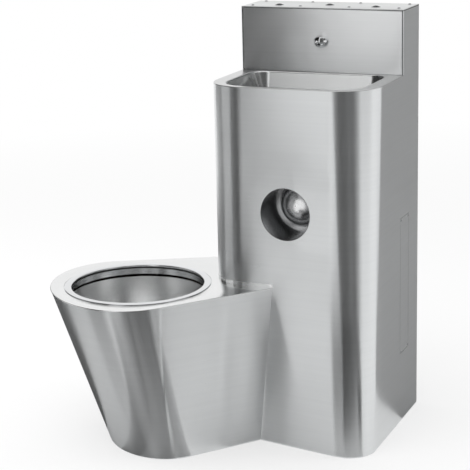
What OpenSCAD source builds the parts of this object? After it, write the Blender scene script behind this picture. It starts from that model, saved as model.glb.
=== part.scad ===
// Toilet and basin combination unit in stainless steel sheet.
// A floor standing tower carries a wash basin, and a pan leaves its left front corner at an angle.
// Origin: on the floor, at the wall, in the middle of the tower. +Z is up and the front faces -Y.

/* [Tower] */
// Width of the tower
tower_w = 420; // [400:1:450]
// Depth of the tower at the basin deck
tower_d = 388; // [378:1:410]
// Height of the tower over all
unit_h = 1043; // [1030:1:1080]
// Height of the box above the basin deck
box_h = 158; // [150:1:166]
// Depth of the box behind the basin
box_d = 128; // [124:1:136]
// Radius of the front corners at the deck
corner_r = 95; // [80:1:100]
// Radius of the right front corner at the floor
floor_corner_r = 66; // [55:1:75]
// Angle that the lower front is turned forwards to the right, at the floor
front_turn = 10.5; // [6:0.5:13]
// Sideways run of the fold in the lower front
crease_run = 113; // [90:1:130]
// Thickness of the casing sheet
sheet_t = 2; // [1.5:0.1:2.5]
// Gap of the seams round the splash panel and the access panel
seam_gap = 1; // [0.6:0.1:1.4]

/* [Lid and buttons] */
// Sideways pitch of the lid screws
screw_pitch = 126.6; // [120:0.2:130]
// Distance of the front row of lid screws from the box front
screw_front = 26; // [24:0.5:27]
// Distance of the back row of lid screws from the wall
screw_back = 12; // [8:0.5:16]
// Radius of a lid screw
screw_r = 2; // [1.5:0.1:2.5]
// Distance of the outer buttons from the middle
button_x = 126; // [118:1:130]
// Distance of the outer buttons from the box front
button_front = 44; // [42:1:48]
// Distance of the middle button from the box front
middle_button_front = 64; // [58:1:68]
// Radius of a button
button_r = 10; // [9:0.5:10.5]
// Height of a button's dome
dome_h = 3.5; // [2:0.5:5]
// Travel of a button
button_travel = 5; // [3:0.5:6]

/* [Basin] */
// Half width of the basin opening
basin_half = 172; // [160:1:176]
// Width of the deck in front of the basin
front_rim = 19; // [16:1:26]
// Width of the deck behind the basin
back_rim = 12; // [10:1:20]
// Radius of the front corners of the basin
basin_front_r = 60; // [50:1:70]
// Radius of the back corners of the basin
basin_back_r = 40; // [30:1:50]
// Depth of the basin
basin_depth = 138; // [120:1:150]
// Thickness of the basin and pan sheet
bowl_t = 1.5; // [1.2:0.1:2]
// Inward lean of the basin's side walls, for each unit of depth
side_lean = 0.4; // [0.2:0.05:0.45]
// Inward lean of the basin's front and back walls, for each unit of depth
front_lean = 0.22; // [0.1:0.02:0.26]
// Outer radius of the basin waste pipe
waste_r = 16; // [14:0.5:18]
// Drop of the basin waste pipe below the basin floor
waste_drop = 53; // [50:1:58]
// Sideways place of the basin waste pipe through the back
waste_x = 60; // [55:1:65]

/* [Spout] */
// Radius of the spout dome
spout_r = 18; // [15:0.5:20]
// Height of the spout above the deck
spout_up = 78; // [70:1:84]
// Radius of the spout shank
shank_r = 7; // [6:0.5:8]

/* [Paper pocket] */
// Radius of the paper pocket
pocket_r = 64; // [58:1:66]
// Drop of the paper pocket's middle below the basin deck
pocket_drop = 300; // [295:1:310]
// Depth of the paper pocket
pocket_depth = 114; // [100:1:118]
// Rise of the dome in the pocket
pocket_dome_h = 46; // [30:1:50]

/* [Access panel] */
// Width of the access opening
access_w = 70; // [60:1:76]
// Height of the access opening
access_h = 351; // [320:1:360]
// Height of the access opening above the floor
access_z = 182; // [170:1:200]
// Distance of the access opening from the wall
access_y = 80; // [70:1:90]

/* [Pan] */
// Height of the pan
rim_z = 400; // [390:1:460]
// Angle of the pan from straight ahead, to the left
pan_turn = 51; // [48:0.5:53]
// Distance of the bowl centre outside the tower's left side
pan_out = 155; // [150:1:170]
// Distance of the bowl centre in front of the tower
pan_front = 65; // [60:1:75]
// Half width of the pan at the rim
rim_half = 220; // [214:1:230]
// Half width of the pan at the floor
foot_half = 170; // [160:1:180]
// Reach of the rim in front of the bowl centre
rim_reach = 213; // [208:1:225]
// Reach of the foot in front of the bowl centre
foot_reach = 83; // [70:1:110]
// Half width of the pan at its back, at the rim
rim_back_half = 165; // [160:1:172]
// Half width of the pan at its back, at the floor
foot_back_half = 127; // [122:1:132]
// Radius of the seat opening
seat_r = 167; // [160:1:170]
// Width of the polished seat ring
seat_w = 14; // [12:1:18]
// Depth of the seat ring's inner wall
seat_drop = 24; // [18:1:28]
// Height of the strip that joins the pan top to the tower
cove_h = 9; // [6:1:12]
// Outer radius of the pan outlet
outlet_r = 46; // [44:1:48]
// Height of the pan outlet above the floor
outlet_z = 190; // [188:1:200]
// Sideways place of the pan outlet through the back
outlet_x = -61; // [-64:1:-58]

/* [Water] */
// Radius of a valve body
valve_r = 16; // [14:0.5:17]
// Length of a valve body
valve_len = 64; // [55:1:70]
// Outer radius of the basin supply pipes
supply_r = 7.5; // [6:0.5:9]
// Outer radius of the flush supply pipe
flush_supply_r = 11; // [10:0.5:13]
// Outer radius of the flush pipe
flush_r = 12; // [10:0.5:12.5]
// Height of the lower ends of the supply pipes
supply_z = 500; // [480:5:520]

/* [Fixings] */
// Radius of the wall bolt holes
wall_hole_r = 5.5; // [4.5:0.5:6.5]
// Sideways spacing of the wall bolts
wall_pitch_x = 320; // [300:5:340]
// Height spacing of the wall bolts
wall_pitch_z = 600; // [560:5:640]
// Height of the lower wall bolts
wall_low_z = 330; // [320:5:345]
// Radius of the floor bolt holes
floor_hole_r = 5.5; // [4.5:0.5:6.5]
// Distance of the floor bolts from the tower's sides
floor_inset = 24; // [20:1:28]
// Distance of the back floor bolts from the wall
floor_back = 50; // [40:1:60]
// Spacing of the floor bolts from back to front
floor_pitch_y = 180; // [160:5:200]

/* [Hidden] */
$fn = 64;
CUT = 1;
RUN_CLEAR = 0.05;
HOLE_CLEAR = 0.25;
ARC_STEPS = 12;
RIM_STEPS = 36;
half_w = tower_w / 2;
inner_w = half_w - sheet_t;
lid_z = unit_h - sheet_t;
deck_z = unit_h - box_h;
pocket_z = deck_z - pocket_drop;

function mix(a, b, k) = a + (b - a) * k;
function arc(centre, r, from, to, steps) = [
    for (i = [0:steps]) let (a = mix(from, to, i / steps)) centre + r * [cos(a), sin(a)]
];
function level(path, z) = [for (p = path) [p[0], p[1], z]];
function turned_back(path) = [for (i = [len(path) - 1:-1:0]) path[i]];
function crossing(p, d, q, e) =
    let (k = ((q[0] - p[0]) * e[1] - (q[1] - p[1]) * e[0]) / (d[0] * e[1] - d[1] * e[0])) p + k * d;

// Closed solid through level rings of points that run anticlockwise, from the lowest ring up
module loft(rings) {
    n = len(rings[0]);
    top = (len(rings) - 1) * n;
    points = [for (ring = rings) each ring];
    sides = [
        for (j = [0:len(rings) - 2], i = [0:n - 1])
        let (a = j * n + i, b = j * n + (i + 1) % n)
        each [[a, a + n, b + n], [a, b + n, b]]
    ];
    caps = [[for (i = [0:n - 1]) i], [for (i = [n - 1:-1:0]) top + i]];
    polyhedron(points, concat(caps, sides));
}

// Pan outline
// A half ellipse in front, and straight sides that run back into the tower
bowl_c = [-half_w - pan_out, -tower_d - pan_front];
pan_u = [-sin(pan_turn), -cos(pan_turn)];
pan_n = [-cos(pan_turn), sin(pan_turn)];
side_u = -252;
tail_u = -350;
rim_centre_u = 35;
foot_centre_u = -51;
function on_pan(u, n) = bowl_c + u * pan_u + n * pan_n;
function pan_centre(z) = mix(foot_centre_u, rim_centre_u, z / rim_z);
function pan_a(z, e) = mix(foot_reach, rim_reach, z / rim_z) - pan_centre(z) - e;
function pan_b(z, e) = mix(foot_half, rim_half, z / rim_z) - e;
function pan_side(z, e) = mix(foot_back_half, rim_back_half, z / rim_z) - e;
function pan_turn_point(z, e) =
    let (m = (side_u - pan_centre(z)) / pan_a(z, e), n = pan_side(z, e) / pan_b(z, e))
    atan2(n, m) - acos(1 / norm([m, n]));
function pan_slope(z, e) =
    let (t = pan_turn_point(z, e)) -pan_b(z, e) / pan_a(z, e) * cos(t) / sin(t);
function pan_tail(z, e) = pan_side(z, e) + (tail_u - side_u) * pan_slope(z, e);
function pan_path(z, e = 0, past = 0) =
    let (t = pan_turn_point(z, e))
    concat(
        [on_pan(tail_u - past, pan_tail(z, e))],
        [for (i = [0:RIM_STEPS]) let (a = mix(t, -t, i / RIM_STEPS))
            on_pan(pan_centre(z) + pan_a(z, e) * cos(a), pan_b(z, e) * sin(a))],
        [on_pan(tail_u - past, -pan_tail(z, e))]
    );
function pan_right_dir(z) =
    on_pan(side_u, -pan_side(z, 0)) - on_pan(tail_u, -pan_tail(z, 0));

// Tower outline
// Below the rim a fold runs down to the right from the point where the pan meets the front
front_dir = [1, 0];
turned_dir = [cos(front_turn), -sin(front_turn)];
fold_top = crossing(on_pan(tail_u, -pan_tail(rim_z, 0)), pan_right_dir(rim_z), [0, -tower_d], front_dir);
fold_foot = crossing(on_pan(tail_u, -pan_tail(0, 0)), pan_right_dir(0), fold_top, turned_dir);
FOLD_STUB = 4;
function below_rim(z) = max(0, 1 - z / rim_z);
function turn_at(z) = atan(tan(front_turn) * max(0, 1 - z / deck_z));
function radius_at(z) = mix(floor_corner_r, corner_r, min(1, z / deck_z));
function fold_right(z) = fold_top + crease_run * below_rim(z) * [1, -tan(front_turn)];
function fold_left(z) = mix(fold_top - [FOLD_STUB, 0], fold_foot, below_rim(z));
function corner_centre(z) =
    let (x = half_w - radius_at(z), f = fold_right(z))
    [x, f[1] - (x - f[0]) * tan(turn_at(z)) + radius_at(z) / cos(turn_at(z))];
function front_path(z, e = 0, back = -box_d) =
    let (lift = [0, e / cos(turn_at(z))])
    concat(
        [[-half_w + e, back]],
        arc([-half_w + corner_r, -tower_d + corner_r], corner_r - e, 180, 270, ARC_STEPS),
        [fold_left(z) + lift, fold_right(z) + lift],
        arc(corner_centre(z), radius_at(z) - e, 270 - turn_at(z), 360, ARC_STEPS),
        [[half_w - e, back]]
    );
FOOT_LEVELS = 4;
LEAN_LEVELS = 4;
casing_levels = concat(
    [for (i = [0:FOOT_LEVELS]) rim_z * i / FOOT_LEVELS],
    [for (i = [1:LEAN_LEVELS]) mix(rim_z, deck_z - sheet_t, i / LEAN_LEVELS)]
);

// The tower as a full block, to trim what is welded to its outside
module tower_block() {
    loft([for (z = concat(casing_levels, [deck_z])) level(front_path(z, 0, 0), z)]);
}
// The space inside a lofted sheet, open at both ends
module hollow(levels, rings) {
    last = len(levels) - 1;
    loft(concat([level(rings[0], levels[0] - CUT)],
        [for (i = [0:last]) level(rings[i], levels[i])], [level(rings[last], levels[last] + CUT)]));
}

// Pipes
module along(a, b) {
    d = b - a;
    translate(a) rotate([0, acos(d[2] / norm(d)), atan2(d[1], d[0])]) children();
}
elbow_over = 1.5;
module elbow_bar(path, r, elbow_r, over = 0) {
    last = len(path) - 1;
    for (i = [0:last - 1]) {
        d = (path[i + 1] - path[i]) / norm(path[i + 1] - path[i]);
        along(path[i] - (i == 0 ? over : 0) * d, path[i + 1])
            cylinder(h = norm(path[i + 1] - path[i]) + (i == 0 ? over : 0) + (i == last - 1 ? over : 0), r = r);
    }
    for (i = [1:last - 1]) translate(path[i]) sphere(r = elbow_r);
}

// Casing
module side_strips() {
    low = deck_z - sheet_t - CUT;
    for (side = [-1, 1])
        translate([side > 0 ? inner_w : -half_w, -box_d, low]) cube([sheet_t, box_d, lid_z - low]);
}
// Openings for the pan outlet and the flush pipe, hidden inside the pan
trap_clear = 4;
module casing_openings() {
    translate([0, 0, pocket_z]) rotate([90, 0, 0]) cylinder(h = tower_d * 1.2, r = pocket_r);
    translate([inner_w - CUT, -access_y - access_w, access_z])
        cube([sheet_t + 2 * CUT, access_w, access_h]);
    along(trap_path[2], trap_path[3]) cylinder(h = norm(trap_path[3] - trap_path[2]), r = outlet_r + trap_clear);
    along(flush_path[2], flush_path[3])
        cylinder(h = norm(flush_path[3] - flush_path[2]), r = flush_r + HOLE_CLEAR);
}
module body_shell() {
    color("silver") difference() {
        union() {
            difference() {
                loft([for (z = casing_levels) level(front_path(z, 0, 0), z)]);
                hollow(casing_levels, [for (z = casing_levels) front_path(z, sheet_t, CUT)]);
            }
            side_strips();
        }
        casing_openings();
    }
}
module wall_bolts() {
    for (x = [-1, 1], z = [0, 1])
        translate([x * wall_pitch_x / 2, CUT, wall_low_z + z * wall_pitch_z])
            rotate([90, 0, 0]) cylinder(h = sheet_t + 2 * CUT, r = wall_hole_r);
}
seal_t = 6;
module back_plate() {
    color("gray") difference() {
        translate([-inner_w, -sheet_t, 0]) cube([2 * inner_w, sheet_t, lid_z]);
        wall_bolts();
        translate([outlet_x, CUT, outlet_z])
            rotate([90, 0, 0]) cylinder(h = sheet_t + 2 * CUT, r = outlet_r + seal_t);
        translate([waste_x, CUT, waste_z])
            rotate([90, 0, 0]) cylinder(h = sheet_t + 2 * CUT, r = waste_r + HOLE_CLEAR);
    }
}
module splash_panel() {
    color("lightgray") difference() {
        translate([-inner_w + seam_gap, -box_d, deck_z])
            cube([2 * (inner_w - seam_gap), sheet_t, lid_z - deck_z]);
        translate([0, -box_d - CUT, deck_z + spout_up])
            rotate([-90, 0, 0]) cylinder(h = sheet_t + 2 * CUT, r = shank_r + HOLE_CLEAR);
    }
}

// Lid, its rails and screws
screw_rows = [-box_d + screw_front, -screw_back];
rail_t = 3;
rail_edge = 3.2;
screw_len = 14;
head_r = 4;
head_h = 2.2;
module at_lid_screws() {
    for (i = [-1.5:1:1.5], y = screw_rows)
        translate([i * screw_pitch, y, unit_h]) children();
}
button_y = box_d - button_front;
middle_button_y = box_d - middle_button_front;
button_places = [[-button_x, -button_y], [0, -middle_button_y], [button_x, -button_y]];
lid_hole_r = button_r + 2;
module top_lid() {
    color("silver") difference() {
        translate([-half_w, -box_d, lid_z]) cube([tower_w, box_d, sheet_t]);
        at_lid_screws() translate([0, 0, -sheet_t - CUT]) cylinder(h = sheet_t + 2 * CUT, r = screw_r + HOLE_CLEAR);
        for (p = button_places)
            translate([p[0], p[1], lid_z - CUT]) cylinder(h = sheet_t + 2 * CUT, r = lid_hole_r);
    }
}
module lid_rails() {
    color("dimgray") difference() {
        union() {
            translate([-inner_w, -box_d + sheet_t, lid_z - rail_t])
                cube([2 * inner_w, screw_front - sheet_t + rail_edge, rail_t]);
            translate([-inner_w, -screw_back - 3 * rail_edge, lid_z - rail_t])
                cube([2 * inner_w, screw_back + 3 * rail_edge - sheet_t, rail_t]);
        }
        at_lid_screws() translate([0, 0, -screw_len]) cylinder(h = screw_len, r = screw_r + RUN_CLEAR);
    }
}
module screw(r, len, cap_r, cap_h) {
    translate([0, 0, -len]) cylinder(h = len, r = r);
    rotate_extrude() polygon(concat(
        [[0, 0], [cap_r, 0], [cap_r, cap_h / 3]],
        [for (a = [30, 60, 90]) [cap_r * cos(a), cap_h / 3 + cap_h * 2 / 3 * sin(a)]]
    ));
}
module lid_screws() {
    color("dimgray") at_lid_screws() screw(screw_r, screw_len, head_r, head_h);
}

// Basin
basin_front = -tower_d + front_rim;
basin_back = -box_d - back_rim;
bowl_lip = 6;
floor_r = 34;
least_r = 26;
FLOOR_STEPS = 5;
waste_y = -(basin_front + basin_back) / 2;
function basin_path(e, f) =
    let (
        x = basin_half - e, y0 = basin_front + f, y1 = basin_back - f,
        r0 = max(basin_front_r - max(e, f), least_r), r1 = max(basin_back_r - max(e, f), least_r)
    )
    concat(
        arc([-x + r1, y1 - r1], r1, 90, 180, ARC_STEPS),
        arc([-x + r0, y0 + r0], r0, 180, 270, ARC_STEPS),
        arc([x - r0, y0 + r0], r0, 270, 360, ARC_STEPS),
        arc([x - r1, y1 - r1], r1, 0, 90, ARC_STEPS)
    );
// The walls lean in, and a quarter round leads to the floor
function basin_rings(e, top, floor_z) =
    let (wall_h = top - floor_z - floor_r)
    concat(
        [for (i = [FLOOR_STEPS:-1:0]) let (a = 90 * i / FLOOR_STEPS, run = floor_r * (1 - cos(a)))
            level(
                basin_path(e + side_lean * wall_h + run, e + front_lean * wall_h + run),
                floor_z + floor_r * (1 - sin(a))
            )],
        [level(basin_path(e, e), top)]
    );
module basin_cut() {
    translate([0, 0, deck_z - 2 * sheet_t]) linear_extrude(4 * sheet_t) polygon(basin_path(0, 0));
}
module basin_deck() {
    color("lightgray") difference() {
        union() {
            loft([for (z = [deck_z - sheet_t, deck_z]) level(front_path(z), z)]);
            translate([-inner_w, -box_d, deck_z - sheet_t]) cube([2 * inner_w, sheet_t, sheet_t]);
        }
        basin_cut();
    }
}
bracket_w = 18;
module deck_brackets() {
    color("dimgray") for (side = [0, 1]) mirror([side, 0, 0]) difference() {
        translate([inner_w - bracket_w, -tower_d + 1.2 * corner_r, deck_z - sheet_t - bracket_w])
            cube([bracket_w, tower_d - 1.2 * corner_r - box_d - back_rim, bracket_w]);
        translate([inner_w - bracket_w - CUT, -tower_d, deck_z - 2 * sheet_t - bracket_w])
            cube([bracket_w + CUT - sheet_t, tower_d, bracket_w]);
    }
}
bowl_floor = deck_z - sheet_t - basin_depth;
module basin_bowl() {
    color("silver") difference() {
        union() {
            loft(basin_rings(-bowl_t, deck_z - sheet_t - bowl_t, bowl_floor - bowl_t));
            translate([0, 0, deck_z - sheet_t - bowl_t]) linear_extrude(bowl_t) polygon(basin_path(-bowl_lip, -bowl_lip));
        }
        loft(basin_rings(0, deck_z - sheet_t, bowl_floor));
        basin_cut();
        translate([0, -waste_y, bowl_floor - bowl_t - CUT])
            cylinder(h = bowl_t + 2 * CUT, r = waste_r + HOLE_CLEAR);
    }
}

// Basin waste and trap
waste_wall = 2;
waste_flange_r = 31;
waste_flange_t = 2;
grate_t = 3;
grate_hole_r = 3.6;
nut_h = 8;
waste_z = bowl_floor - waste_drop;
trap_r = 28;
trap_over = 21;
pocket_clear = 8;
trap_low = pocket_z + pocket_r + pocket_clear;
trap_top = waste_z + trap_over;
dip_up = 14;
dip_z = trap_low + dip_up;
stub_x = 34;
module at_waste() {
    translate([0, -waste_y, 0]) children();
}
module basin_waste() {
    color("gainsboro") at_waste() difference() {
        union() {
            translate([0, 0, bowl_floor]) cylinder(h = waste_flange_t, r = waste_flange_r);
            translate([0, 0, dip_z]) cylinder(h = bowl_floor - dip_z, r = waste_r);
        }
        translate([0, 0, dip_z - CUT])
            cylinder(h = bowl_floor + waste_flange_t - grate_t - dip_z + CUT, r = waste_r - waste_wall);
        for (i = [0:5])
            rotate(60 * i) translate([waste_r / 2, 0, bowl_floor - grate_t]) cylinder(h = 3 * grate_t, r = grate_hole_r);
        translate([0, 0, bowl_floor - grate_t]) cylinder(h = 3 * grate_t, r = grate_hole_r);
    }
}
module waste_nut() {
    color("gray") at_waste() translate([0, 0, bowl_floor - bowl_t - nut_h]) difference() {
        cylinder(h = nut_h, r = 1.7 * waste_r, $fn = 6);
        translate([0, 0, -CUT]) cylinder(h = nut_h + 2 * CUT, r = waste_r + RUN_CLEAR);
    }
}
module basin_trap() {
    color("darkgray") at_waste() difference() {
        union() {
            translate([0, 0, trap_low]) cylinder(h = trap_top - trap_low, r = trap_r);
            translate([0, 0, waste_z]) rotate([0, 90, 0]) cylinder(h = stub_x, r = waste_r);
        }
        translate([0, 0, trap_low + waste_wall])
            cylinder(h = trap_top - trap_low - 2 * waste_wall, r = trap_r - waste_wall);
        translate([0, 0, trap_top - 2 * waste_wall]) cylinder(h = 3 * waste_wall, r = waste_r + RUN_CLEAR);
        translate([trap_r - 2 * waste_wall, 0, waste_z]) rotate([0, 90, 0])
            cylinder(h = stub_x, r = waste_r - waste_wall);
    }
}
module waste_pipe() {
    path = [[stub_x, -waste_y, waste_z], [waste_x, -waste_y, waste_z], [waste_x, 0, waste_z]];
    color("darkgray") difference() {
        elbow_bar(path, waste_r, waste_r + elbow_over);
        elbow_bar(path, waste_r - waste_wall, waste_r + elbow_over - waste_wall, CUT);
    }
}

// Paper pocket and its dome
// The tube ends in the front sheet, and the dome closes its back
dome_foot_r = pocket_r - 9;
DOME_STEPS = 16;
module paper_pocket() {
    color("silver") intersection() {
        tower_block();
        translate([0, -tower_d + pocket_depth, pocket_z]) rotate([90, 0, 0]) difference() {
            cylinder(h = 1.5 * pocket_depth, r = pocket_r);
            translate([0, 0, -CUT]) cylinder(h = 2 * pocket_depth, r = pocket_r - bowl_t);
        }
    }
}
module pocket_dome() {
    dome_r = (dome_foot_r * dome_foot_r + pocket_dome_h * pocket_dome_h) / (2 * pocket_dome_h);
    dome_angle = asin(dome_foot_r / dome_r);
    drop = dome_r - pocket_dome_h;
    color("silver") translate([0, -tower_d + pocket_depth, pocket_z]) rotate([90, 0, 0])
        rotate_extrude() polygon(concat(
            [[pocket_r, -bowl_t], [pocket_r, 0]],
            [for (i = [DOME_STEPS:-1:0]) let (a = dome_angle * i / DOME_STEPS) [dome_r * sin(a), dome_r * cos(a) - drop]],
            [for (i = [0:DOME_STEPS]) let (a = dome_angle * i / DOME_STEPS)
                [(dome_r - bowl_t) * sin(a), (dome_r - bowl_t) * cos(a) - drop]],
            [[dome_foot_r - bowl_t, -bowl_t]]
        ));
}

// Access panel, the frame behind it and its screws
frame_t = 3;
frame_over = 12;
frame_lap = 11;
access_inset = 6;
module at_access_screws() {
    for (y = [access_inset, access_w - access_inset], z = [access_inset, access_h - access_inset])
        translate([half_w, -access_y - y, access_z + z]) rotate([0, 90, 0]) children();
}
module access_frame() {
    color("dimgray") difference() {
        translate([inner_w - frame_t, -access_y - access_w - frame_over, access_z - frame_over])
            cube([frame_t, access_w + 2 * frame_over, access_h + 2 * frame_over]);
        translate([inner_w - frame_t - CUT, -access_y - access_w + frame_lap, access_z + frame_lap])
            cube([frame_t + 2 * CUT, access_w - 2 * frame_lap, access_h - 2 * frame_lap]);
        at_access_screws() translate([0, 0, -screw_len]) cylinder(h = screw_len, r = screw_r + RUN_CLEAR);
    }
}
module access_panel() {
    color("silver") difference() {
        translate([inner_w, -access_y - access_w + seam_gap, access_z + seam_gap])
            cube([sheet_t, access_w - 2 * seam_gap, access_h - 2 * seam_gap]);
        at_access_screws() translate([0, 0, -sheet_t - CUT])
            cylinder(h = sheet_t + 2 * CUT, r = screw_r + HOLE_CLEAR);
    }
}
module access_screws() {
    color("dimgray") at_access_screws() screw(screw_r, sheet_t + frame_t + CUT, head_r - 0.5, head_h / 2);
}

// Spout, its nut and the pipe that feeds it
spout_z = deck_z + spout_up;
spout_hole_r = 3;
spout_hole_turn = 28;
shank_len = 16;
mixing_r = 6;
mixing_wall = 1.5;
module spout() {
    color("white") translate([0, -box_d, spout_z]) rotate([90, 0, 0]) difference() {
        union() {
            intersection() {
                sphere(r = spout_r);
                cylinder(h = spout_r, r = spout_r);
            }
            translate([0, 0, -shank_len]) cylinder(h = shank_len, r = shank_r);
        }
        translate([0, 0, -shank_len - CUT]) cylinder(h = shank_len + 2 * CUT, r = shank_r - 3);
        rotate([spout_hole_turn, 0, 0]) cylinder(h = 2 * spout_r, r = spout_hole_r);
    }
}
module spout_nut() {
    color("gray") translate([0, -box_d + sheet_t, spout_z]) rotate([-90, 0, 0]) difference() {
        cylinder(h = nut_h, r = 1.8 * shank_r, $fn = 6);
        translate([0, 0, -CUT]) cylinder(h = nut_h + 2 * CUT, r = shank_r + RUN_CLEAR);
    }
}
mixing_y = -box_d + shank_len + mixing_r;
module mixing_bars(r, over) {
    translate([-mixing_r - over / 2, mixing_y, spout_z]) rotate([0, 90, 0])
        cylinder(h = button_x + 2 * mixing_r + over, r = r);
    translate([0, mixing_y - mixing_r - over, spout_z]) rotate([-90, 0, 0])
        cylinder(h = -middle_button_y - mixing_y + mixing_r + over, r = r);
    translate([button_x, mixing_y, spout_z]) rotate([-90, 0, 0])
        cylinder(h = -button_y - mixing_y, r = r);
}
module mixing_pipe() {
    color("peru") difference() {
        mixing_bars(mixing_r, 0);
        mixing_bars(mixing_r - mixing_wall, -2 * mixing_wall);
        translate([0, mixing_y - mixing_r - CUT, spout_z]) rotate([-90, 0, 0])
            cylinder(h = 2 * mixing_r, r = mixing_r - mixing_wall);
        for (p = [button_places[1], button_places[2]])
            translate([p[0], p[1], bush_z - valve_len]) cylinder(h = valve_len, r = valve_r);
    }
}

// Push buttons
// Each button is a domed cap on a stem that runs in a bush under the lid
cap_h = 10;
bush_floor = 4;
bush_h = cap_h + button_travel + 5 + bush_floor;
bush_z = unit_h - bush_h;
bush_gap = 0.4;
bush_wall = 2;
flange_h = 5;
cap_t = 2.5;
cap_wall = 1.6;
stem_r = 4;
stem_clear = 0.06;
stem_below = 14;
collar_r = 6;
collar_h = 4;
stop_gap = 0.3;
module push_button(p) {
    cap_sphere_r = (button_r * button_r + dome_h * dome_h) / (2 * dome_h);
    color("white") translate([p[0], p[1], 0]) {
        difference() {
            union() {
                translate([0, 0, unit_h - cap_h]) cylinder(h = cap_h, r = button_r);
                intersection() {
                    translate([0, 0, unit_h + dome_h - cap_sphere_r]) sphere(r = cap_sphere_r);
                    translate([0, 0, unit_h - CUT]) cylinder(h = dome_h + 2 * CUT, r = button_r);
                }
            }
            translate([0, 0, unit_h - cap_h - CUT]) cylinder(h = cap_h - cap_t + CUT, r = button_r - cap_wall);
        }
        translate([0, 0, bush_z - stem_below]) cylinder(h = bush_h + stem_below - cap_t + 0.5, r = stem_r);
        translate([0, 0, bush_z - stop_gap - collar_h]) cylinder(h = collar_h, r = collar_r);
    }
}
module flush_button() { push_button(button_places[0]); }
module cold_button() { push_button(button_places[1]); }
module hot_button() { push_button(button_places[2]); }
module button_bushes() {
    color("black") for (p = button_places) translate([p[0], p[1], 0]) difference() {
        union() {
            translate([0, 0, bush_z]) cylinder(h = lid_z - bush_z, r = button_r + bush_gap + bush_wall);
            translate([0, 0, lid_z - flange_h]) cylinder(h = flange_h, r = lid_hole_r + 1.4);
            translate([0, 0, lid_z - CUT]) cylinder(h = sheet_t + CUT, r = lid_hole_r - HOLE_CLEAR);
        }
        translate([0, 0, bush_z + bush_floor]) cylinder(h = bush_h, r = button_r + bush_gap);
        translate([0, 0, bush_z - CUT]) cylinder(h = bush_h, r = stem_r + stem_clear);
    }
}

// Return springs: one unbroken wire wound round the stem
wire_r = 0.8;
spring_r = 6.6;
SPRING_TURNS = 4;
SPRING_STEPS = 12;
SPRING_SIDES = 6;
module return_spring(p) {
    low = bush_z + bush_floor + wire_r + RUN_CLEAR;
    high = unit_h - cap_t - wire_r - RUN_CLEAR;
    count = SPRING_TURNS * SPRING_STEPS;
    points = [
        for (i = [0:count], j = [0:SPRING_SIDES - 1])
        let (a = 360 * i / SPRING_STEPS, b = 360 * j / SPRING_SIDES, r = spring_r + wire_r * cos(b))
        [p[0] + r * cos(a), p[1] + r * sin(a), mix(low, high, i / count) + wire_r * sin(b)]
    ];
    faces = [
        for (i = [0:count - 1], j = [0:SPRING_SIDES - 1])
        let (a = i * SPRING_SIDES + j, b = i * SPRING_SIDES + (j + 1) % SPRING_SIDES)
        each [[a, b, b + SPRING_SIDES], [a, b + SPRING_SIDES, a + SPRING_SIDES]]
    ];
    ends = [
        [for (j = [SPRING_SIDES - 1:-1:0]) j],
        [for (j = [0:SPRING_SIDES - 1]) count * SPRING_SIDES + j]
    ];
    color("gray") polyhedron(points, concat(faces, ends));
}
module flush_spring() { return_spring(button_places[0]); }
module cold_spring() { return_spring(button_places[1]); }
module hot_spring() { return_spring(button_places[2]); }

// Valves, which hang from the bushes
stem_bore_r = 7;
stem_bore_h = stem_below + button_travel + 3;
port_h = 30;
module valve(p, port_r, way) {
    color("goldenrod") translate([p[0], p[1], bush_z - valve_len]) difference() {
        cylinder(h = valve_len, r = valve_r);
        translate([0, 0, valve_len - stem_bore_h]) cylinder(h = stem_bore_h + CUT, r = stem_bore_r);
        translate([0, 0, -CUT]) cylinder(h = valve_len - stem_bore_h - 3 + CUT, r = port_r);
        translate([0, 0, way[2] - bush_z + valve_len]) rotate([0, 90, way[0]]) cylinder(h = 2 * valve_r, r = way[1]);
    }
}
flush_start_z = bush_z - port_h;
down_inset = 50;
down_front = 18;
flush_down = [-half_w + down_inset, -box_d + down_front];
flush_dir = (flush_down - button_places[0]) / norm(flush_down - button_places[0]);
module flush_valve() {
    valve(button_places[0], flush_supply_r - 2, [atan2(flush_dir[1], flush_dir[0]), flush_r - 2, flush_start_z]);
}
module cold_valve() { valve(button_places[1], supply_r - 1.5, [-90, mixing_r - mixing_wall, spout_z]); }
module hot_valve() { valve(button_places[2], supply_r - 1.5, [-90, mixing_r - mixing_wall, spout_z]); }

// Supply pipes, each with a threaded end low in the tower
nipple_h = 16;
nipple_over = 3;
module supply(p, r, wall) {
    color("peru") translate([p[0], p[1], supply_z]) difference() {
        union() {
            cylinder(h = bush_z - valve_len - supply_z, r = r);
            cylinder(h = nipple_h, r = r + nipple_over);
        }
        translate([0, 0, -CUT]) cylinder(h = unit_h, r = r - wall);
    }
}
module cold_supply() { supply(button_places[1], supply_r, 1.5); }
module hot_supply() { supply(button_places[2], supply_r, 1.5); }
module flush_supply() { supply(button_places[0], flush_supply_r, 2); }

// Pan bowl and the rings under its rim
top_z = rim_z - sheet_t;
ring_hole_r = seat_r + seat_w;
collar_in_r = ring_hole_r + 15;
channel_z = top_z - 26;
shoulder_r = seat_r + 5;
shoulder_z = rim_z - seat_drop - 8;
spray_r = 8;
spray_wall = 1.5;
spray_z = channel_z + 13;
SPRAY_HOLES = 16;
BOWL_STEPS = 14;
trap_wall = 2;
bowl_out_r = outlet_r - trap_wall - bowl_t - HOLE_CLEAR;
trap_lift = 6;
mouth_up = 72;
mouth_lap = 10;
bowl_rise = 25;
trap_floor = outlet_r + trap_lift;
trap_mouth = trap_floor + mouth_up;
bowl_foot = trap_mouth - mouth_lap;
bowl_low = trap_mouth + bowl_rise;
function bowl_curve(e) = [
    for (i = [0:BOWL_STEPS]) let (a = 90 * i / BOWL_STEPS)
    [bowl_out_r + e + (shoulder_r - bowl_out_r) * cos(a), shoulder_z - e / 2 - (shoulder_z - bowl_low) * sin(a)]
];
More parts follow.
